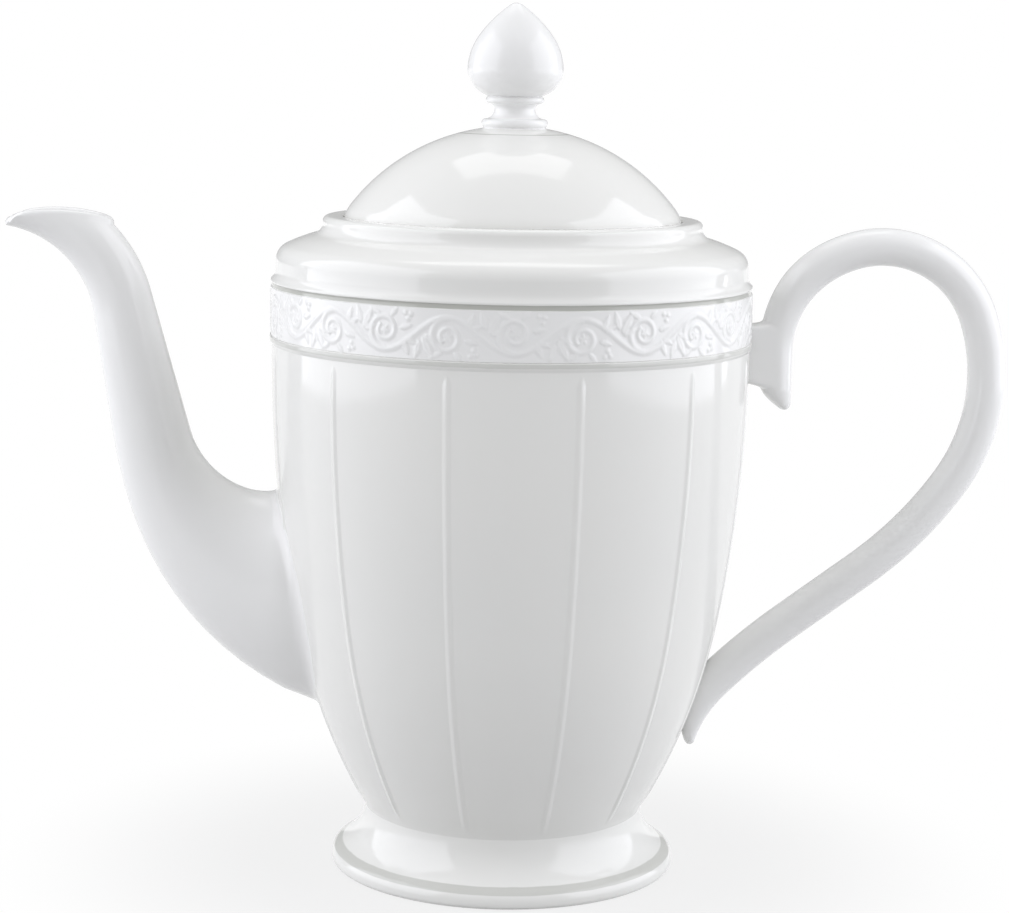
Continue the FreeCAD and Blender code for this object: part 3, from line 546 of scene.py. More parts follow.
def swept_piece(name, rings, hollow):
    """A tube through rings of points, closed at both ends or, when hollow, back onto its first ring."""
    piece = start_piece(name)
    bpy.ops.mesh.delete(type="VERT")
    for index, ring in enumerate(rings):
        add_ring(piece, ring, join=index > 0)
    sides = len(rings[0])
    first, last = slice(0, sides), slice(-sides, None)
    if hollow:
        select_rings(piece, first, last)
        bpy.ops.mesh.bridge_edge_loops()
    else:
        for end in (first, last):
            select_rings(piece, end)
            bpy.ops.mesh.edge_face_add()
    bpy.ops.mesh.select_all(action="SELECT")
    bpy.ops.mesh.normals_make_consistent(inside=False)
    bpy.ops.object.mode_set(mode="OBJECT")
    return piece


def along_bend(start, slope, new_slope, radius, side, share):
    """Place and slope at a share of a bend to the left (1) or right (-1)."""
    here = slope + (new_slope - slope) * share
    across = side * radius * (math.sin(here) - math.sin(slope))
    up = side * radius * (math.cos(slope) - math.cos(here))
    return Vector((start.x + across, start.y + up)), here


def blend(first, second, share):
    return first + (second - first) * share


def ease(share):
    """Runs smoothly from 0 to 1."""
    share = min(1.0, max(0.0, share))
    return share * share * (3 - 2 * share)


# The wall of the vessel


def wall_outline(vessel, foot):
    """The outside of the ribbed wall, from its top down to the neck."""
    outline = Outline(vessel.top_radius, vessel.top_height)
    outline.arc(vessel.mid_radius, vessel.mid_height, vessel.upper_curve, -1, steps=36, crowd=1.7)
    outline.arc(vessel.flare_radius, vessel.flare_height, steps=34)
    outline.arc(foot.neck_radius, foot.neck_height, steps=5)
    return outline


class Wall:
    """Radius of the outside of the vessel at a height."""

    def __init__(self, settings):
        self.points = wall_outline(settings.vessel, settings.foot).points

    def radius(self, height):
        for upper, lower in zip(self.points, self.points[1:]):
            if lower.y <= height <= upper.y:
                return blend(lower.x, upper.x, (height - lower.y) / (upper.y - lower.y))
        return self.points[0].x if height > self.points[0].y else self.points[-1].x

    def outside(self, place):
        """How far a place lies outside the wall."""
        return math.hypot(place.x, place.y) - self.radius(place.z)

    def normal(self, place):
        step = 0.5 * MM
        fall = (self.radius(place.z + step) - self.radius(place.z - step)) / (2 * step)
        flat = Vector((place.x, place.y, 0.0)).normalized()
        return Vector((flat.x, flat.y, -fall)).normalized()

    def settle(self, place, sink):
        """A place moved level onto the wall."""
        flat = Vector((place.x, place.y)).normalized() * (self.radius(place.z) - sink)
        return Vector((flat.x, flat.y, place.z))


# Materials


def new_group(name, inputs, outputs):
    """An empty node group with its sockets; each socket is a kind and a name."""
    group = bpy.data.node_groups.new(name, "ShaderNodeTree")
    for kind, label in inputs:
        group.interface.new_socket(label, in_out="INPUT", socket_type=kind)
    for kind, label in outputs:
        group.interface.new_socket(label, in_out="OUTPUT", socket_type=kind)
    start = group.nodes.new("NodeGroupInput")
    end = group.nodes.new("NodeGroupOutput")
    return group, start, end


def math_node(tree, operation, first, second=None):
    """A math node; each value is a number or a socket."""
    node = tree.nodes.new("ShaderNodeMath")
    node.operation = operation
    for socket, value in zip(node.inputs, (first, second)):
        if value is None:
            continue
        if isinstance(value, bpy.types.NodeSocket):
            tree.links.new(value, socket)
        else:
            socket.default_value = value
    return node.outputs[0]


def glaze_group():
    """Cloudy glaze: a mask for its thickness and the height of its faint ripple."""
    inputs = [("NodeSocketVector", "Place")]
    outputs = [("NodeSocketFloat", "Pool"), ("NodeSocketFloat", "Ripple")]
    group, start, end = new_group("Glaze", inputs, outputs)
    pool, ripple = ("Pool", CLOUD_SCALE, CLOUD_DETAIL), ("Ripple", RIPPLE_SCALE, RIPPLE_DETAIL)
    for label, scale, detail in (pool, ripple):
        noise = group.nodes.new("ShaderNodeTexNoise")
        noise.inputs["Scale"].default_value = scale
        noise.inputs["Detail"].default_value = detail
        group.links.new(start.outputs["Place"], noise.inputs["Vector"])
        group.links.new(noise.outputs["Fac"], end.inputs[label])
    return group


def line_group():
    """Mask of a painted line: 1 within a width of a place, with a slightly uneven edge."""
    inputs = [
        ("NodeSocketVector", "Place"),
        ("NodeSocketFloat", "Measure"),
        ("NodeSocketFloat", "Middle"),
        ("NodeSocketFloat", "Half width"),
    ]
    group, start, end = new_group("Painted line", inputs, [("NodeSocketFloat", "Mask")])
    uneven = group.nodes.new("ShaderNodeTexNoise")
    uneven.inputs["Scale"].default_value = WANDER_SCALE
    group.links.new(start.outputs["Place"], uneven.inputs["Vector"])
    either_way = math_node(group, "SUBTRACT", uneven.outputs["Fac"], 0.5)
    wander = math_node(group, "MULTIPLY", either_way, WANDER_WIDTH)
    offset = math_node(group, "SUBTRACT", start.outputs["Measure"], start.outputs["Middle"])
    away = math_node(group, "ABSOLUTE", math_node(group, "ADD", offset, wander))
    edge = math_node(group, "SUBTRACT", start.outputs["Half width"], away)
    soft = group.nodes.new("ShaderNodeMapRange")
    soft.interpolation_type = "SMOOTHSTEP"
    soft.inputs["From Min"].default_value = -PAINT_EDGE
    soft.inputs["From Max"].default_value = PAINT_EDGE
    group.links.new(edge, soft.inputs["Value"])
    group.links.new(soft.outputs["Result"], end.inputs["Mask"])
    return group


def group_named(name, make):
    return bpy.data.node_groups.get(name) or make()


def colour_mix(tree, share, first, second):
    """A mix of a first colour, which may be a socket, and a second one."""
    node = tree.nodes.new("ShaderNodeMix")
    node.data_type = "RGBA"
    tree.links.new(share, node.inputs["Factor"])
    if isinstance(first, bpy.types.NodeSocket):
        tree.links.new(first, node.inputs["A"])
    else:
        node.inputs["A"].default_value = (*first, 1.0)
    node.inputs["B"].default_value = (*second, 1.0)
    return node.outputs["Result"]


def porcelain(name, looks, lines=(), across=False):
    """Glazed porcelain with painted lines, each a middle, a width and a strength.

    The lines are measured up the pot or, across, from its axis.
    """
    material = bpy.data.materials.new(name)
    material.use_nodes = True
    tree = material.node_tree
    shader = tree.nodes["Principled BSDF"]
    shader.inputs["IOR"].default_value = GLAZE_IOR
    shader.inputs["Roughness"].default_value = looks.roughness
    coordinates = tree.nodes.new("ShaderNodeTexCoord")
    glaze = tree.nodes.new("ShaderNodeGroup")
    glaze.node_tree = group_named("Glaze", glaze_group)
    tree.links.new(coordinates.outputs["Object"], glaze.inputs["Place"])
    tone = colour_mix(tree, glaze.outputs["Pool"], looks.pale, looks.deep)
    if lines:
        tone = paint_lines(tree, coordinates, tone, looks.line, lines, across)
    tree.links.new(tone, shader.inputs["Base Color"])
    bump = tree.nodes.new("ShaderNodeBump")
    bump.inputs["Strength"].default_value = RIPPLE_STRENGTH
    bump.inputs["Distance"].default_value = RIPPLE_HEIGHT
    tree.links.new(glaze.outputs["Ripple"], bump.inputs["Height"])
    tree.links.new(bump.outputs["Normal"], shader.inputs["Normal"])
    return material


def paint_lines(tree, coordinates, tone, paint, lines, across):
    """The tone of the glaze with lines painted over it, on the outside of the piece."""
    place = coordinates.outputs["Object"]
    measure = line_measure(tree, place, across)
    outside = outside_mask(tree, coordinates, across)
    for middle, width, strength in lines:
        mask = tree.nodes.new("ShaderNodeGroup")
        mask.node_tree = group_named("Painted line", line_group)
        tree.links.new(place, mask.inputs["Place"])
        tree.links.new(measure, mask.inputs["Measure"])
        mask.inputs["Middle"].default_value = middle
        mask.inputs["Half width"].default_value = width / 2
        share = math_node(tree, "MULTIPLY", mask.outputs["Mask"], strength)
        tone = colour_mix(tree, math_node(tree, "MULTIPLY", share, outside), tone, paint)
    return tone


def line_measure(tree, place, across):
    """Height on the pot or, across, distance from its axis."""
    parts = tree.nodes.new("ShaderNodeSeparateXYZ")
    tree.links.new(place, parts.inputs["Vector"])
    if not across:
        return parts.outputs["Z"]
    squares = [math_node(tree, "POWER", parts.outputs[axis], 2.0) for axis in "XY"]
    return math_node(tree, "SQRT", math_node(tree, "ADD", *squares))


def outside_mask(tree, coordinates, across):
    """1 on the outside of a turned piece, 0 on the inside of its wall."""
    reach = tree.nodes.new("ShaderNodeVectorMath")
    reach.operation = "MULTIPLY"
    reach.inputs[1].default_value = UPRIGHT if across else (1.0, 1.0, 0.0)
    tree.links.new(coordinates.outputs["Object"], reach.inputs[0])
    facing = tree.nodes.new("ShaderNodeVectorMath")
    facing.operation = "DOT_PRODUCT"
    tree.links.new(reach.outputs["Vector"], facing.inputs[0])
    tree.links.new(coordinates.outputs["Normal"], facing.inputs[1])
    return math_node(tree, "GREATER_THAN", facing.outputs["Value"], INWARD)


def plain_porcelain(looks):
    return bpy.data.materials.get("porcelain") or porcelain("porcelain", looks)


# Pieces


class COFFEEPOT_OT_foot(bpy.types.Operator):
    """Turns the hollow foot ring"""

    bl_idname = "coffee_pot.foot"
    bl_label = "Foot"

    def execute(self, context):
        settings = context.scene.coffee_pot
        foot = settings.foot
        rest = foot.rim_radius - foot.edge_round - foot.rest_width
        outline = Outline(rest, foot.wall)
        outline.line(rest, 0.0)
        outline.line(foot.rim_radius - foot.edge_round, 0.0)
        outline.arc(foot.rim_radius, foot.edge_round, foot.edge_round, 1, steps=6)
        outline.line(foot.rim_radius, foot.rim_height)
        outline.arc(foot.lip_radius, foot.lip_height, steps=10)
        outline.arc(foot.neck_radius, foot.neck_height, foot.flare_curve, -1, steps=20)
        outline.line(foot.neck_radius - foot.wall, foot.neck_height)
        outline.line(foot.neck_radius - foot.wall, foot.neck_height - foot.wall)
        outline.arc(rest, foot.wall, foot.flare_curve, 1, steps=10)
        piece = turned_piece("pot_foot", outline, ROUND_STEPS)
        line = (foot.line_height, foot.line_width, foot.line_strength)
        finish_piece(piece, "pot", porcelain("porcelain_foot", settings.glaze, [line]), "foot")
        return {"FINISHED"}


class COFFEEPOT_OT_vessel(bpy.types.Operator):
    """Models one panel of the vessel with its rib and repeats it round the axis"""

    bl_idname = "coffee_pot.vessel"
    bl_label = "Vessel"

    # Mesh columns of a panel beside its rib and across it, and the angle of the finer stretch.
    side_steps = 6
    rib_steps = 24
    rib_angle = math.radians(4.8)
    hole_sides = 64

    def execute(self, context):
        settings = context.scene.coffee_pot
        vessel = settings.vessel
        piece = trace("pot_vessel", self.outline(settings))
        bpy.ops.mesh.select_all(action="SELECT")
        panel = FULL_TURN / vessel.ribs
        side = (panel - self.rib_angle) / 2
        beside, across = (side, self.side_steps), (self.rib_angle, self.rib_steps)
        for angle, steps in (beside, across, beside):
            spin_round(steps, angle)
        clean_mesh()
        bpy.ops.object.mode_set(mode="OBJECT")
        press(piece, self.rib_weights(piece, vessel), vessel.rib_rise)
        bpy.ops.object.mode_set(mode="EDIT")
        bpy.ops.mesh.select_all(action="SELECT")
        spin_round(vessel.ribs - 1, FULL_TURN - panel, copies=True)
        clean_mesh()
        bpy.ops.object.mode_set(mode="OBJECT")
        self.cut_hole(piece, settings)
        lines = [
            (vessel.low_line, vessel.low_line_width, vessel.low_line_strength),
            (vessel.high_line, vessel.high_line_width, vessel.high_line_strength),
        ]
        finish_piece(piece, "pot", porcelain("porcelain_vessel", settings.glaze, lines), "pot_body")
        return {"FINISHED"}

    def outline(self, settings):
        """The vessel's inside and outside, from the middle of its floor to the middle of its base."""
        vessel, foot, lid = settings.vessel, settings.foot, settings.lid
        floor = foot.neck_height + vessel.floor
        frieze_low = vessel.top_height + vessel.ledge_slope + vessel.ledge_height
        frieze_top = frieze_low + vessel.frieze_height
        groove_top = frieze_top + vessel.groove_height
        bead_top = groove_top + vessel.bead_height
        band_top = bead_top + vessel.band_height
        gallery = vessel.mouth_radius + lid.seat_width + lid.gap
        inner = vessel.top_radius - vessel.wall
        inside = Outline(inner - vessel.bead_height, band_top)
        inside.arc(inner, band_top - vessel.bead_height, vessel.bead_height, -1, steps=4)
        inside.line(inner, vessel.top_height, steps=2)
        upper_curve = vessel.upper_curve - vessel.wall
        inside.arc(vessel.mid_radius - vessel.wall, vessel.mid_height, upper_curve, -1, steps=10)
        low_end = vessel.flare_radius - vessel.wall
        inside.arc(low_end, floor + vessel.floor_round, steps=10)
        inside.arc(low_end - vessel.floor_round, floor, steps=5)
        inside.line(0.0, floor, steps=3)
        line = Outline(0.0, floor)
        line.points = list(reversed(inside.points))
        line.line(vessel.mouth_radius, vessel.seat_height - vessel.mouth_depth, steps=2)
        line.line(vessel.mouth_radius, vessel.seat_height)
        line.line(gallery, vessel.seat_height)
        line.line(gallery, vessel.gallery_height)
        line.line(vessel.gallery_radius - vessel.gallery_round, vessel.gallery_height)
        line.arc(vessel.gallery_radius, vessel.gallery_height - vessel.gallery_round, steps=8)
        line.line(vessel.gallery_radius, vessel.cove_height)
        line.arc(vessel.shoulder_radius, vessel.shoulder_height, steps=6)
        corner = vessel.band_radius - vessel.corner_in, band_top + vessel.corner_up
        line.arc(*corner, vessel.shoulder_curve, -1, steps=8)
        line.arc(vessel.band_radius, band_top, steps=10)
        line.line(vessel.band_radius, bead_top)
        line.arc(vessel.band_radius + vessel.bead_out, groove_top + vessel.bead_lip, steps=8)
        line.arc(vessel.top_radius, groove_top, vessel.bead_curve, -1, steps=6)
        line.line(vessel.top_radius, frieze_low)
        line.line(vessel.top_radius + vessel.ledge_out, frieze_low)
        line.line(vessel.top_radius + vessel.ledge_out, frieze_low - vessel.ledge_height)
        line.line(vessel.top_radius, vessel.top_height)
        line.points += wall_outline(vessel, foot).points[1:]
        line.soften(vessel.soft_edge)
        line.line(0.0, foot.neck_height)
        return line

    def rib_weights(self, piece, vessel):
        """How far the rib in the middle of the panel stands out at each point of the outside."""
        middle = math.pi / vessel.ribs
        top = vessel.top_height - vessel.rib_gap
        weights = {}
        for vertex in piece.data.vertices:
            reach = math.hypot(vertex.co.x, vertex.co.y)
            if vertex.normal.dot(Vector((vertex.co.x, vertex.co.y, 0.0))) <= 0 or not reach:
                continue
            turned = abs(math.atan2(vertex.co.y, vertex.co.x)) - middle
            aside = abs(reach * math.sin(turned)) / vessel.rib_half
            upper = math.sqrt(ease((top - vertex.co.z) / vessel.rib_round))
            lower = ease((vertex.co.z - vessel.rib_low) / vessel.rib_fade)
            if upper and lower and aside < upper:
                weights[vertex.index] = upper * lower * (1 + math.cos(math.pi * aside / upper)) / 2
        return weights

    def cut_hole(self, piece, settings):
        """Cuts the hole behind the spout."""
        spout = settings.spout
        bore = 2 * settings.vessel.hole_radius
        bpy.ops.mesh.primitive_cylinder_add(
            vertices=self.hole_sides,
            radius=settings.vessel.hole_radius,
            depth=bore,
            location=(-spout.root_reach, 0.0, spout.root_height),
            rotation=(0.0, spout.root_rise - math.pi / 2, 0.0),
        )
        tool = bpy.context.object
        apply_modifier(piece, "BOOLEAN", operation="DIFFERENCE", solver="EXACT", object=tool)
        select_only(tool)
        bpy.ops.object.delete()


class COFFEEPOT_OT_frieze(bpy.types.Operator):
    """Models one repeat of a running leaf scroll in relief and repeats it round the vessel"""

    bl_idname = "coffee_pot.frieze"
    bl_label = "Frieze"

    # Leaves of half a repeat: root along and up from its middle in millimetres, direction in degrees
    # and size.
    leaves = (
        (6.6, 0.6, 118, 1.0),
        (7.3, 1.6, 74, 0.8),
        (6.2, 0.2, 158, 0.62),
        (-5.2, -1.6, 246, 0.72),
        (-5.8, -1.2, 204, 0.6),
        (1.2, 4.4, 26, 0.62),
        (-1.8, 4.2, 130, 0.55),
        (-4.4, 1.2, 166, 0.6),
    )
    # Berries of half a repeat: place along and up from its middle in millimetres.
    berries = ((-7.4, 4.9), (-6.0, 5.2), (-6.8, 3.7))
    # A leaf: number and depth of its lobes, how near its root it is widest, width and depth of its vein.
    leaf_lobes, lobe_depth = 3.2, 0.2
    leaf_belly = 0.75
    vein_half, vein_depth = 0.3, 0.35
    # A scroll: how much thinner its tendril gets, depth between petals, size and depth of a flower's heart.
    tendril_taper = 0.3
    petal_depth = 0.2
    heart_size, heart_depth = 0.5, 0.4
    ground_play = 0.1 * MM

    def execute(self, context):
        settings = context.scene.coffee_pot
        vessel, frieze = settings.vessel, settings.frieze
        low = vessel.top_height + vessel.ledge_slope + vessel.ledge_height
        outline = Outline(vessel.top_radius - vessel.soft_edge, low)
        outline.line(frieze.ground, low + vessel.soft_edge / 2)
        outline.line(frieze.ground, low + vessel.frieze_height - vessel.soft_edge / 2, steps=frieze.rows)
        outline.line(vessel.top_radius - vessel.soft_edge, low + vessel.frieze_height)
        piece = trace("pot_frieze", outline)
        bpy.ops.mesh.select_all(action="SELECT")
        panel = FULL_TURN / vessel.ribs
        spin_round(frieze.columns, panel)
        clean_mesh()
        bpy.ops.object.mode_set(mode="OBJECT")
        middle = low + vessel.frieze_height / 2
        repeat = panel * frieze.ground
        weights = {}
        outward = 0.0
        for vertex in piece.data.vertices:
            if math.hypot(vertex.co.x, vertex.co.y) < frieze.ground - self.ground_play:
                continue
            outward += vertex.normal.dot(vertex.co)
            along = abs(math.atan2(vertex.co.y, vertex.co.x)) * frieze.ground
            rise = self.relief(along, vertex.co.z - middle, repeat, vessel.frieze_height, frieze)
            if rise > 0:
                weights[vertex.index] = rise
        press(piece, weights, math.copysign(frieze.rise, outward))
        bpy.ops.object.mode_set(mode="EDIT")
        bpy.ops.mesh.select_all(action="SELECT")
        spin_round(vessel.ribs - 1, FULL_TURN - panel, copies=True)
        clean_mesh()
        if outward < 0:
            bpy.ops.mesh.flip_normals()
        bpy.ops.object.mode_set(mode="OBJECT")
        finish_piece(piece, "pot", plain_porcelain(settings.glaze))
        return {"FINISHED"}

    def relief(self, along, up, repeat, height, frieze):
        """Height of the leaf work, from 0 on the ground to 1, at a place of one repeat."""
        wave = FULL_TURN * along / repeat
        stem = -frieze.stem_swing * math.cos(wave)
        slope = frieze.stem_swing * FULL_TURN / repeat * math.sin(wave)
        bare = 1 - self.mound((up - stem) / math.hypot(1.0, slope) / frieze.stem_half)
        for half in range(-2, 4):
            side = 1 if half % 2 == 0 else -1
            bare *= self.left_bare(along - half * repeat / 2, up * side, frieze)
        return (1 - bare) * ease((height / 2 - abs(up)) / frieze.margin)

    def left_bare(self, along, up, frieze):
        """How bare one scroll, with its flower, its leaves and its berries, leaves the ground."""
        bare = 1 - self.scroll(along, up - frieze.scroll_lift, frieze)
        for root_along, root_up, angle, size in self.leaves:
            from_root = along - root_along * MM, up - root_up * MM
            bare *= 1 - self.leaf(*from_root, math.radians(angle), size, frieze)
        for berry_along, berry_up in self.berries:
            away = math.hypot(along - berry_along * MM, up - berry_up * MM)
            bare *= 1 - self.mound(away / frieze.berry_radius)
        return bare

    def mound(self, away):
        """A soft swelling that is 1 in its middle and 0 from a distance of 1 on."""
        return (1 - away * away) ** 2 if abs(away) < 1 else 0.0

    def scroll(self, along, up, frieze):
        """A tendril that curls in from the running stem to a flower."""
        reach = math.hypot(along, up)
        if reach > frieze.scroll_radius + frieze.stem_half:
            return 0.0
        angle = (math.atan2(up, along) + math.pi / 2) % FULL_TURN
        best = 0.0
        for passed in (angle, angle + FULL_TURN):
            share = passed / (frieze.scroll_turns * FULL_TURN)
            if share < 1:
                curl = frieze.scroll_radius * math.exp(-frieze.scroll_decay * passed)
                half = frieze.stem_half * (1 - self.tendril_taper * share)
                best = max(best, self.mound((reach - curl) / half))
        petal = frieze.flower_radius * (1 - self.petal_depth * (1 - math.cos(frieze.petals * angle)))
        heart = self.heart_depth * self.mound(reach / (self.heart_size * frieze.flower_radius))
        return max(best, self.mound(reach / petal) - heart)

    def leaf(self, along, up, angle, size, frieze):
        """A pointed leaf with lobes along its edge and a groove along its middle."""
        ahead = (along * math.cos(angle) + up * math.sin(angle)) / (frieze.leaf_length * size)
        if not 0.0 < ahead < 1.0:
            return 0.0
        aside = (up * math.cos(angle) - along * math.sin(angle)) / (frieze.leaf_half * size)
        lobes = 1 - self.lobe_depth * (1 - abs(math.sin(ahead * math.pi * self.leaf_lobes)))
        edge = math.sin(math.pi * ahead ** self.leaf_belly) * lobes
        return self.mound(aside / edge) * (1 - self.vein_depth * self.mound(aside / self.vein_half))


class COFFEEPOT_OT_spout(bpy.types.Operator):
    """Sweeps the spout from the vessel to its rim and its channel back again"""

    bl_idname = "coffee_pot.spout"
    bl_label = "Spout"

    # Rings of points along the blend, the root, the stem, the lip, the rim and the channel.
    fillet_rings = 7
    root_rings = 16
    stem_rings = 12
    lip_rings = 18
    rim_rings = 6
    channel_rings = 30
    # Steps in which a place along the spout is looked for: coarse, fine, and halvings after that.
    search_step, fine_step, halvings = 1.0 * MM, 0.1 * MM, 24
    # How fast the rounding of the rim falls off beside the back of the mouth.
    back_power = 3

    def execute(self, context):
        settings = context.scene.coffee_pot
        spout = settings.spout
        self.bend = spout.root_curve * (spout.stem_rise - spout.root_rise)
        self.turnover = spout.lip_curve * (spout.stem_rise - spout.lip_rise)
        wall = Wall(settings)
        angles = [FULL_TURN * side / spout.sides for side in range(spout.sides)]
        columns = [self.column(angle, spout, wall) for angle in angles]
        piece = swept_piece("pot_spout", list(zip(*columns)), True)
        finish_piece(piece, "pot", plain_porcelain(settings.glaze), "spout")
        return {"FINISHED"}

    def section(self, passed, spout):
        """Middle, slope, depth and width of the section at a distance along the spout."""
        root = Vector((spout.root_reach, spout.root_height))
        lift = Vector((0.0, spout.root_lift))
        if passed <= 0:
            ahead = Vector((math.cos(spout.root_rise), math.sin(spout.root_rise)))
            return root + lift + ahead * passed, 0.0, spout.root_depth, spout.root_width
        if passed <= self.bend:
            share = passed / self.bend
            place = along_bend(root, spout.root_rise, spout.stem_rise, spout.root_curve, 1, share)[0]
            opening = (1 - share) ** spout.flare_power
            depth = blend(spout.foot_depth, spout.root_depth, opening)
            width = blend(spout.foot_width, spout.root_width, opening)
            return place + lift * opening, spout.stem_rise * share, depth, width
        foot = along_bend(root, spout.root_rise, spout.stem_rise, spout.root_curve, 1, 1.0)[0]
        along_stem = passed - self.bend
        ahead = Vector((math.cos(spout.stem_rise), math.sin(spout.stem_rise)))
        if along_stem <= spout.stem_length:
            share = along_stem / spout.stem_length
            depth = blend(spout.foot_depth, spout.stem_depth, share)
            width = blend(spout.foot_width, spout.stem_width, share)
            return foot + ahead * along_stem, spout.stem_rise, depth, width
        top = foot + ahead * spout.stem_length
        along_lip = along_stem - spout.stem_length
        share = min(1.0, along_lip / self.turnover)
        place, slope = along_bend(top, spout.stem_rise, spout.lip_rise, spout.lip_curve, -1, share)
        beyond = max(0.0, along_lip - self.turnover)
        place = place + Vector((math.cos(slope), math.sin(slope))) * beyond
        depth = blend(spout.stem_depth, spout.tip_depth, share)
        width = blend(spout.stem_width, spout.tip_width, share)
        return place, slope, depth, width

    def skin(self, passed, angle, inset, spout):
        """A place at a distance along and an angle round, on the outside or, with an inset, the channel."""
        middle, slope, depth, width = self.section(passed, spout)
        lift = math.cos(angle) * (depth / 2 - inset)
        reach = middle.x - math.sin(slope) * lift
        aside = math.sin(angle) * (width / 2 - inset)
        return Vector((-reach, aside, middle.y + math.cos(slope) * lift))

    def column(self, angle, spout, wall):
        """Places from the vessel along the outside to the rim, over it and back along the channel."""
        start = self.meeting(angle, 0.0, spout, wall)
        end = self.rim_end(angle, 0.0, spout)
        places, leave = self.fillet(start, angle, spout, wall)
        stem_top = self.bend + spout.stem_length
        stops = [blend(leave, self.bend, ring / self.root_rings) for ring in range(self.root_rings)]
        stops += [blend(self.bend, stem_top, ring / self.stem_rings) for ring in range(self.stem_rings)]
        stops += [blend(stem_top, end, ring / self.lip_rings) for ring in range(self.lip_rings + 1)]
        places += [self.skin(stop, angle, 0.0, spout) for stop in stops]
        inner_start = self.meeting(angle, spout.wall, spout, wall)
        inner_end = self.rim_end(angle, spout.wall, spout)
        places += self.rim(places[-1], self.skin(inner_end, angle, spout.wall, spout), angle, spout)
        for ring in range(self.channel_rings):
            stop = blend(inner_end, inner_start, ring / self.channel_rings)
            places.append(self.skin(stop, angle, spout.wall, spout))
        return places + [wall.settle(self.skin(inner_start, angle, spout.wall, spout), spout.sink)]

    def crossing(self, low, high, beyond):
        """The distance along the spout, between two others, at which a test turns true."""
        for _ in range(self.halvings):
            half = (low + high) / 2
            if beyond(half):
                high = half
            else:
                low = half
        return low

    def meeting(self, angle, inset, spout, wall):
        """Where a line along the spout comes out of the vessel's wall."""

        def clear(passed):
            return wall.outside(self.skin(passed, angle, inset, spout)) > 0

        passed = self.bend
        while clear(passed):
            passed -= self.search_step
        return self.crossing(passed, passed + self.search_step, clear)

    def rim_end(self, angle, inset, spout):
        """Where a line along the spout comes up to the rim."""

        def past(passed):
            place = self.skin(passed, angle, inset, spout)
            return self.within(place, spout) < self.rounding(angle, spout)

        passed = self.bend + spout.stem_length
        while not past(passed + self.search_step):
            passed += self.search_step
        return self.crossing(passed, passed + self.search_step, past)

    def within(self, place, spout):
        """How far a place lies within the crowned rim and the rounded end of the lip."""
        aside = min(abs(place.y), spout.lip_round)
        crown = spout.rim_height - (place.x + spout.crown_reach) ** 2 / (2 * spout.crown)
        front = spout.lip_reach - spout.lip_round + math.sqrt(spout.lip_round ** 2 - aside ** 2)
        under, behind = crown - place.z, front + place.x
        nose = spout.nose_round
        if max(under, behind) >= nose:
            return min(under, behind)
        return nose - math.hypot(nose - under, nose - behind)

    def rounding(self, angle, spout):
        """How far the rim is rounded up at an angle round the spout."""
        return blend(spout.rim_round, spout.back_round, max(0.0, math.cos(angle)) ** self.back_power)

    def rim(self, outer, inner, angle, spout):
        """Rounds the rim from its outer to its inner edge."""
        middle = (outer + inner) / 2
        fall = []
        for axis in Matrix.Identity(3):
            offset = axis * self.fine_step
            fall.append(self.within(middle + offset, spout) - self.within(middle - offset, spout))
        ahead = -Vector(fall).normalized() * self.rounding(angle, spout)
        places = []
        for ring in range(1, self.rim_rings):
            over = math.pi * ring / self.rim_rings
            places.append(middle + (outer - middle) * math.cos(over) + ahead * math.sin(over))
        return places

    def fillet(self, start, angle, spout, wall):
        """Places of the smooth blend onto the vessel, and how far along the spout it ends."""
        size = blend(spout.fillet_low, spout.fillet_top, (1 + math.cos(angle)) / 2)
        size += spout.fillet_side * math.sin(angle) ** 2
        meeting = self.skin(start, angle, 0.0, spout)
        leave = start
        while (self.skin(leave, angle, 0.0, spout) - meeting).length < size:
            leave += self.fine_step
        middle = Vector((-wall.radius(spout.root_height), 0.0, spout.root_height))
        normal = wall.normal(meeting)
        away = meeting - middle
        away = (away - normal * away.dot(normal)).normalized()
        landing = wall.settle(meeting + away * size, spout.sink)
        end = self.skin(leave, angle, 0.0, spout)
        places = []
        for ring in range(self.fillet_rings):
            share = ring / self.fillet_rings
            places.append(landing.lerp(meeting, share).lerp(meeting.lerp(end, share), share))
        return places, leave


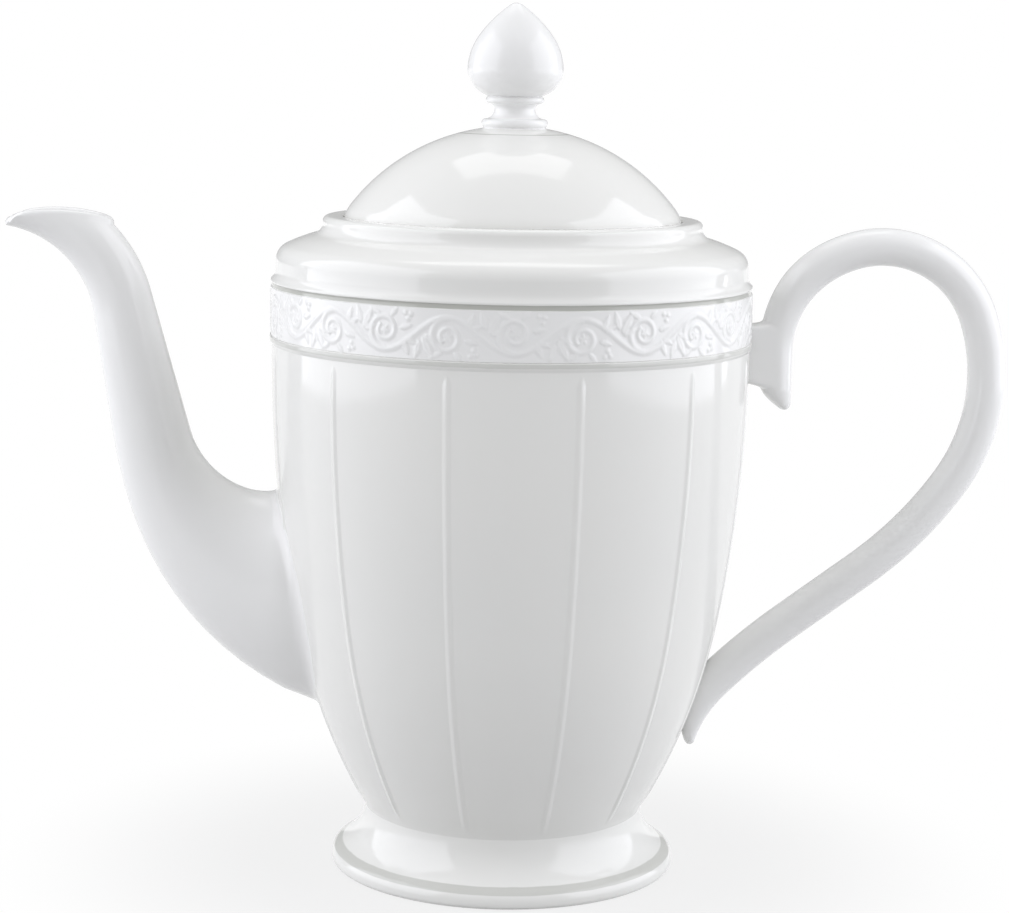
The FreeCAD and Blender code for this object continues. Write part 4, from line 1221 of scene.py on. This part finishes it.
class COFFEEPOT_OT_handle(bpy.types.Operator):
    """Sweeps the strap handle from its free tail to the tail on the vessel"""

    bl_idname = "coffee_pot.handle"
    bl_label = "Handle"

    tail_steps = 12
    # The free tail: how its sections crowd at the tip, how its outer side and its width draw in.
    tail_crowd, outer_draw, outer_bow, width_bow = 1.4, 0.2, 8, 0.5
    # Shares of the upper bend: start and length of the fading of the swell. Pace of the thickening.
    swell_hold, swell_fade, thickening = 0.2, 0.25, 2.2
    # Power with which the lower tail thins out.
    tail_power = 2
    # A rounded end: distance of each section beyond it, as a share of the thickness, and size.
    end_sections = ((0.24, 0.86), (0.4, 0.6), (0.48, 0.25))

    def execute(self, context):
        settings = context.scene.coffee_pot
        handle = settings.handle
        rings = [self.ring(station, handle) for station in self.stations(handle)]
        piece = swept_piece("pot_handle", rings, False)
        apply_modifier(piece, "SUBSURF", levels=1, render_levels=1)
        finish_piece(piece, "pot", plain_porcelain(settings.glaze), "handle")
        return {"FINISHED"}

    def ring(self, station, handle):
        """Points of a section: an oval, drawn out by the web on the vessel's side."""
        place, slope, thickness, width, drawn = station
        across = Vector((-math.sin(slope), 0.0, math.cos(slope)))
        middle = Vector((place.x, 0.0, place.y))
        ring = []
        for index in range(handle.sides):
            angle = FULL_TURN * index / handle.sides
            web = ease((math.cos(angle) - handle.web_side) / handle.web_blend)
            reach = math.cos(angle) * thickness / 2 + drawn * web
            ring.append(middle + across * reach + Vector((0.0, math.sin(angle) * width / 2, 0.0)))
        return ring

    def stations(self, handle):
        """Place, slope, thickness, width and web of each section."""
        stations = self.tail_stations(handle) + self.hook_stations(handle)
        strap = (handle.thickness, handle.width)
        bends = (
            (-handle.top_end, handle.top_curve, -1),
            (-handle.side_end, handle.side_curve, -1),
            (-handle.low_end, handle.low_curve, -1),
            (-handle.low_end, handle.low_run, 0),
            (-handle.root_end, handle.root_curve, 1),
            (-handle.tail_end, handle.tail_curve, 1),
        )
        start, slope = Vector((handle.hook_reach, handle.hook_top)), math.pi / 2
        for index, (new_slope, radius, side) in enumerate(bends):
            run = abs(new_slope - slope) * radius if side else radius
            steps = max(2, round(run / (handle.spacing if index else handle.fine_spacing)))
            for step in range(1, steps + 1):
                share = step / steps
                if side:
                    place, here = along_bend(start, slope, new_slope, radius, side, share)
                else:
                    ahead = Vector((math.cos(slope), math.sin(slope)))
                    place, here = start + ahead * run * share, slope
                size, swell = strap, 0.0
                if index == 0:
                    swell = handle.swell * (1 - ease((share - self.swell_hold) / self.swell_fade))
                    thicker = ease(share * self.thickening)
                    size = (
                        blend(handle.hook_thickness, strap[0], thicker),
                        blend(handle.hook_width, strap[1], thicker),
                    )
                if index == len(bends) - 1:
                    thinner = share ** self.tail_power
                    size = (
                        blend(strap[0], handle.tail_thickness, thinner),
                        blend(strap[1], handle.tail_width, thinner),
                    )
                stations.append(self.station(place, here, *size, swell, handle))
            start, slope = place, new_slope
        stations += self.rounded_end(stations[-1])
        return stations

    def rounded_end(self, station):
        """Sections that close a tail with a rounded tip."""
        place, slope, thickness, width, _ = station
        ahead = Vector((math.cos(slope), math.sin(slope)))
        return [
            (place + ahead * thickness * run, slope, thickness * size, width * size, 0.0)
            for run, size in self.end_sections
        ]

    def tail_stations(self, handle):
        """Sections of the free tail, from its tip up."""
        stations = []
        for step in range(self.tail_steps):
            share = (step / self.tail_steps) ** self.tail_crowd
            inner = handle.tail_draw * (1 - share) ** handle.tail_bow
            outer = self.outer_draw * handle.tail_draw * (1 - share) ** self.outer_bow
            left = handle.hook_reach - handle.hook_thickness / 2 + inner
            right = handle.hook_reach + handle.hook_thickness / 2 - outer
            place = Vector(((left + right) / 2, handle.tip_height + handle.tail_height * share))
            width = blend(handle.tip_width, handle.hook_width, share ** self.width_bow)
            stations.append(self.station(place, math.pi / 2, right - left, width, 0.0, handle))
        return stations

    def hook_stations(self, handle):
        """Sections of the upright run beside the vessel."""
        low = handle.tip_height + handle.tail_height
        run = handle.hook_top - low
        steps = round(run / handle.fine_spacing)
        stations = []
        for step in range(steps + 1):
            place = Vector((handle.hook_reach, low + run * step / steps))
            size = (handle.hook_thickness, handle.hook_width, handle.swell * ease(step / steps))
            stations.append(self.station(place, math.pi / 2, *size, handle))
        return stations

    def station(self, place, slope, thickness, width, swell, handle):
        """A section, thicker on the vessel's side by a swell and drawn out where the web is."""
        across = Vector((-math.sin(slope), math.cos(slope)))
        place = place + across * swell / 2
        thickness += swell
        inner = place + across * thickness / 2
        drawn = 0.0
        if place.x < handle.hook_reach + handle.thickness:
            edge = inner.y + across.y * handle.web_out
            away = handle.web_half + handle.web_fade / 2 - abs(edge - handle.web_height)
            drawn = max(0.0, inner.x - handle.web_reach) * ease(away / handle.web_fade)
        return place, slope, thickness, width, drawn


class COFFEEPOT_OT_lid(bpy.types.Operator):
    """Turns the domed lid with the collar that goes down into the mouth"""

    bl_idname = "coffee_pot.lid"
    bl_label = "Lid"

    def execute(self, context):
        settings = context.scene.coffee_pot
        lid, vessel = settings.lid, settings.vessel
        centre = lid.dome_height - lid.dome_curve
        rim = vessel.mouth_radius + lid.seat_width
        outer = vessel.mouth_radius - lid.gap
        inner = outer - lid.collar_wall
        under = lid.dome_curve - lid.dome_wall
        outline = Outline(0.0, lid.dome_height - lid.dome_wall)
        outline.arc(inner, centre + math.sqrt(under ** 2 - inner ** 2), under, -1, steps=14)
        outline.line(inner - lid.collar_taper, vessel.seat_height - lid.collar_depth)
        outline.line(outer - lid.collar_taper, vessel.seat_height - lid.collar_depth)
        outline.line(outer, vessel.seat_height)
        outline.line(rim, vessel.seat_height)
        edge = centre + math.sqrt(lid.dome_curve ** 2 - (rim - lid.edge) ** 2)
        lean = math.acos((rim - lid.edge) / lid.dome_curve)
        outline.line(rim, edge - lid.edge / math.tan(lean / 2))
        outline.arc(rim - lid.edge, edge, steps=10)
        outline.arc(0.0, lid.dome_height, lid.dome_curve, 1, steps=48)
        outline.soften(vessel.soft_edge)
        piece = turned_piece("lid_dome", outline, ROUND_STEPS)
        line = (lid.line_radius, lid.line_width, lid.line_strength)
        material = porcelain("porcelain_lid", settings.glaze, [line], across=True)
        finish_piece(piece, "lid", material, "lid")
        return {"FINISHED"}


class COFFEEPOT_OT_knob(bpy.types.Operator):
    """Turns the pointed knob of the lid"""

    bl_idname = "coffee_pot.knob"
    bl_label = "Knob"

    def execute(self, context):
        settings = context.scene.coffee_pot
        knob, lid = settings.knob, settings.lid
        dome, skirt = lid.dome_curve, knob.ring_edge + knob.skirt
        seat = lid.dome_height - dome + math.sqrt(dome ** 2 - skirt ** 2)
        outline = Outline(0.0, knob.total_height)
        outline.arc(knob.tip_reach, knob.total_height - knob.tip_fall, knob.tip_curve, -1, steps=8)
        outline.arc(knob.turn_radius, knob.turn_height, steps=14)
        outline.arc(knob.bulb_radius, knob.bulb_height, steps=12)
        outline.arc(knob.collar_edge, knob.collar_top, steps=16)
        outline.arc(knob.collar_edge, knob.collar_low, knob.collar_round, -1, steps=12)
        outline.arc(knob.neck_radius, knob.neck_height, knob.throat_curve, 1, steps=8)
        outline.arc(knob.ring_edge, knob.ring_top, knob.neck_curve, 1, steps=8)
        outline.arc(knob.ring_edge, seat + knob.skirt / 2, knob.ring_round, -1, steps=12)
        outline.arc(skirt, seat, knob.skirt, 1, steps=5)
        outline.arc(0.0, lid.dome_height, dome, 1, steps=4)
        piece = turned_piece("lid_knob_turned", outline, KNOB_STEPS)
        apply_modifier(piece, "SMOOTH", iterations=knob.smoothing)
        finish_piece(piece, "lid", plain_porcelain(settings.glaze), "lid_knob")
        return {"FINISHED"}


# Stage


class COFFEEPOT_OT_stage(bpy.types.Operator):
    """Sets up the floor, the lights and the camera"""

    bl_idname = "coffee_pot.stage"
    bl_label = "Stage"

    def execute(self, context):
        stage = context.scene.coffee_pot.stage
        context.scene.view_settings.view_transform = "Standard"
        self.floor(stage)
        self.room(context.scene, stage)
        self.side_light("light_left", -1, stage)
        self.side_light("light_right", 1, stage)
        self.top_light(stage)
        self.camera(context.scene, stage)
        return {"FINISHED"}

    def floor(self, stage):
        bpy.ops.object.select_all(action="DESELECT")
        bpy.ops.mesh.primitive_plane_add(size=stage.floor_size, location=ORIGIN)
        floor = bpy.context.object
        floor.name = "floor"
        material = bpy.data.materials.new("floor")
        material.use_nodes = True
        tree = material.node_tree
        shader = tree.nodes["Principled BSDF"]
        shader.inputs["Base Color"].default_value = (*stage.floor, 1.0)
        shader.inputs["Roughness"].default_value = stage.floor_roughness
        glow = tree.nodes.new("ShaderNodeEmission")
        glow.inputs["Color"].default_value = (*WHITE, 1.0)
        mix = tree.nodes.new("ShaderNodeMixShader")
        place = tree.nodes.new("ShaderNodeTexCoord").outputs["Object"]
        white = tree.nodes.new("ShaderNodeMapRange")
        white.interpolation_type = "SMOOTHSTEP"
        white.inputs["From Min"].default_value = stage.shade_near
        white.inputs["From Max"].default_value = stage.shade_far
        white.inputs["To Min"].default_value = stage.shade_white
        tree.links.new(line_measure(tree, place, True), white.inputs["Value"])
        path = tree.nodes.new("ShaderNodeLightPath")
        rays = [path.outputs[kind] for kind in ("Is Camera Ray", "Is Glossy Ray")]
        seen = math_node(tree, "MULTIPLY", math_node(tree, "MAXIMUM", *rays), white.outputs["Result"])
        tree.links.new(seen, mix.inputs["Fac"])
        tree.links.new(shader.outputs["BSDF"], mix.inputs[1])
        tree.links.new(glow.outputs["Emission"], mix.inputs[2])
        tree.links.new(mix.outputs["Shader"], tree.nodes["Material Output"].inputs["Surface"])
        floor.data.materials.append(material)

    def room(self, scene, stage):
        """A pale room, brighter overhead, and pure white where the camera looks straight at it."""
        world = bpy.data.worlds.new("room")
        world.use_nodes = True
        scene.world = world
        tree = world.node_tree
        room = tree.nodes["Background"]
        room.inputs["Color"].default_value = (*WHITE, 1.0)
        sky = tree.nodes.new("ShaderNodeSeparateXYZ")
        direction = tree.nodes.new("ShaderNodeTexCoord").outputs["Generated"]
        tree.links.new(direction, sky.inputs["Vector"])
        rise = tree.nodes.new("ShaderNodeMapRange")
        rise.inputs["To Min"].default_value = stage.room
        rise.inputs["To Max"].default_value = stage.ceiling
        tree.links.new(sky.outputs["Z"], rise.inputs["Value"])
        tree.links.new(rise.outputs["Result"], room.inputs["Strength"])
        white = tree.nodes.new("ShaderNodeBackground")
        white.inputs["Color"].default_value = (*WHITE, 1.0)
        white.inputs["Strength"].default_value = 1.0
        path = tree.nodes.new("ShaderNodeLightPath")
        mix = tree.nodes.new("ShaderNodeMixShader")
        tree.links.new(path.outputs["Is Camera Ray"], mix.inputs["Fac"])
        tree.links.new(room.outputs["Background"], mix.inputs[1])
        tree.links.new(white.outputs["Background"], mix.inputs[2])
        tree.links.new(mix.outputs["Shader"], tree.nodes["World Output"].inputs["Surface"])

    def area_light(self, name, place, aim, width, height, power, tone=WHITE):
        light = bpy.data.lights.new(name, "AREA")
        light.color = tone
        light.shape = "RECTANGLE"
        light.size = width
        light.size_y = height
        light.energy = power
        lamp = bpy.data.objects.new(name, light)
        bpy.context.scene.collection.objects.link(lamp)
        lamp.location = place
        lamp.rotation_euler = (Vector(aim) - Vector(place)).to_track_quat("-Z", "Y").to_euler()

    def side_light(self, name, side, stage):
        across = side * stage.side_reach * math.sin(stage.side_turn)
        near = -stage.side_reach * math.cos(stage.side_turn)
        place, aim = (across, near, stage.side_middle), (0.0, 0.0, stage.side_middle)
        size = stage.side_width, stage.side_height
        self.area_light(name, place, aim, *size, stage.side_power, stage.side_tone)

    def top_light(self, stage):
        size = stage.top_width, stage.top_depth
        self.area_light("light_top", stage.top_spot, stage.top_aim, *size, stage.top_power)

    def camera(self, scene, stage):
        level = math.cos(stage.pitch)
        across, inwards = math.sin(stage.swing) * level, math.cos(stage.swing) * level
        ahead = Vector((across, inwards, -math.sin(stage.pitch)))
        right = ahead.cross(Vector(UPRIGHT)).normalized()
        above = right.cross(ahead)
        leaned = right * math.cos(stage.roll) + above * math.sin(stage.roll)
        head = above * math.cos(stage.roll) - right * math.sin(stage.roll)
        axes = Matrix((leaned, head, -ahead)).transposed().to_4x4()
        data = bpy.data.cameras.new("camera")
        data.sensor_fit = "HORIZONTAL"
        data.sensor_width = stage.sensor
        data.lens = stage.lens
        camera = bpy.data.objects.new("camera", data)
        scene.collection.objects.link(camera)
        camera.matrix_world = Matrix.Translation(Vector(stage.eye)) @ axes
        scene.camera = camera


class COFFEEPOT_PT_panel(bpy.types.Panel):
    """Settings of the coffee pot and a button for each of its pieces"""

    bl_idname = "COFFEEPOT_PT_panel"
    bl_label = "Coffee pot"
    bl_space_type = "VIEW_3D"
    bl_region_type = "UI"
    bl_category = "Coffee pot"

    def draw(self, context):
        settings = context.scene.coffee_pot
        for operator in OPERATORS:
            self.layout.operator(operator.bl_idname)
        for part in ("foot", "vessel", "frieze", "spout", "handle", "lid", "knob", "glaze", "stage"):
            box = self.layout.box()
            box.label(text=part.capitalize())
            group = getattr(settings, part)
            for name in group.__annotations__:
                box.prop(group, name)


OPERATORS = (
    COFFEEPOT_OT_foot,
    COFFEEPOT_OT_vessel,
    COFFEEPOT_OT_frieze,
    COFFEEPOT_OT_spout,
    COFFEEPOT_OT_handle,
    COFFEEPOT_OT_lid,
    COFFEEPOT_OT_knob,
    COFFEEPOT_OT_stage,
)
GROUPS = (
    FootSizes,
    VesselSizes,
    FriezeSizes,
    SpoutSizes,
    HandleSizes,
    LidSizes,
    KnobSizes,
    GlazeLooks,
    StageLooks,
    CoffeePotSettings,
)


def register():
    for group in GROUPS:
        bpy.utils.register_class(group)
    bpy.types.Scene.coffee_pot = bpy.props.PointerProperty(type=CoffeePotSettings)
    for operator in OPERATORS:
        bpy.utils.register_class(operator)
    bpy.utils.register_class(COFFEEPOT_PT_panel)


def unregister():
    bpy.utils.unregister_class(COFFEEPOT_PT_panel)
    for operator in reversed(OPERATORS):
        bpy.utils.unregister_class(operator)
    del bpy.types.Scene.coffee_pot
    for group in reversed(GROUPS):
        bpy.utils.unregister_class(group)


def main():
    register()
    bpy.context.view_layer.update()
    bpy.ops.coffee_pot.foot()
    bpy.ops.coffee_pot.vessel()
    bpy.ops.coffee_pot.frieze()
    bpy.ops.coffee_pot.spout()
    bpy.ops.coffee_pot.handle()
    bpy.ops.coffee_pot.lid()
    bpy.ops.coffee_pot.knob()
    bpy.ops.coffee_pot.stage()


if __name__ == "__main__":
    main()
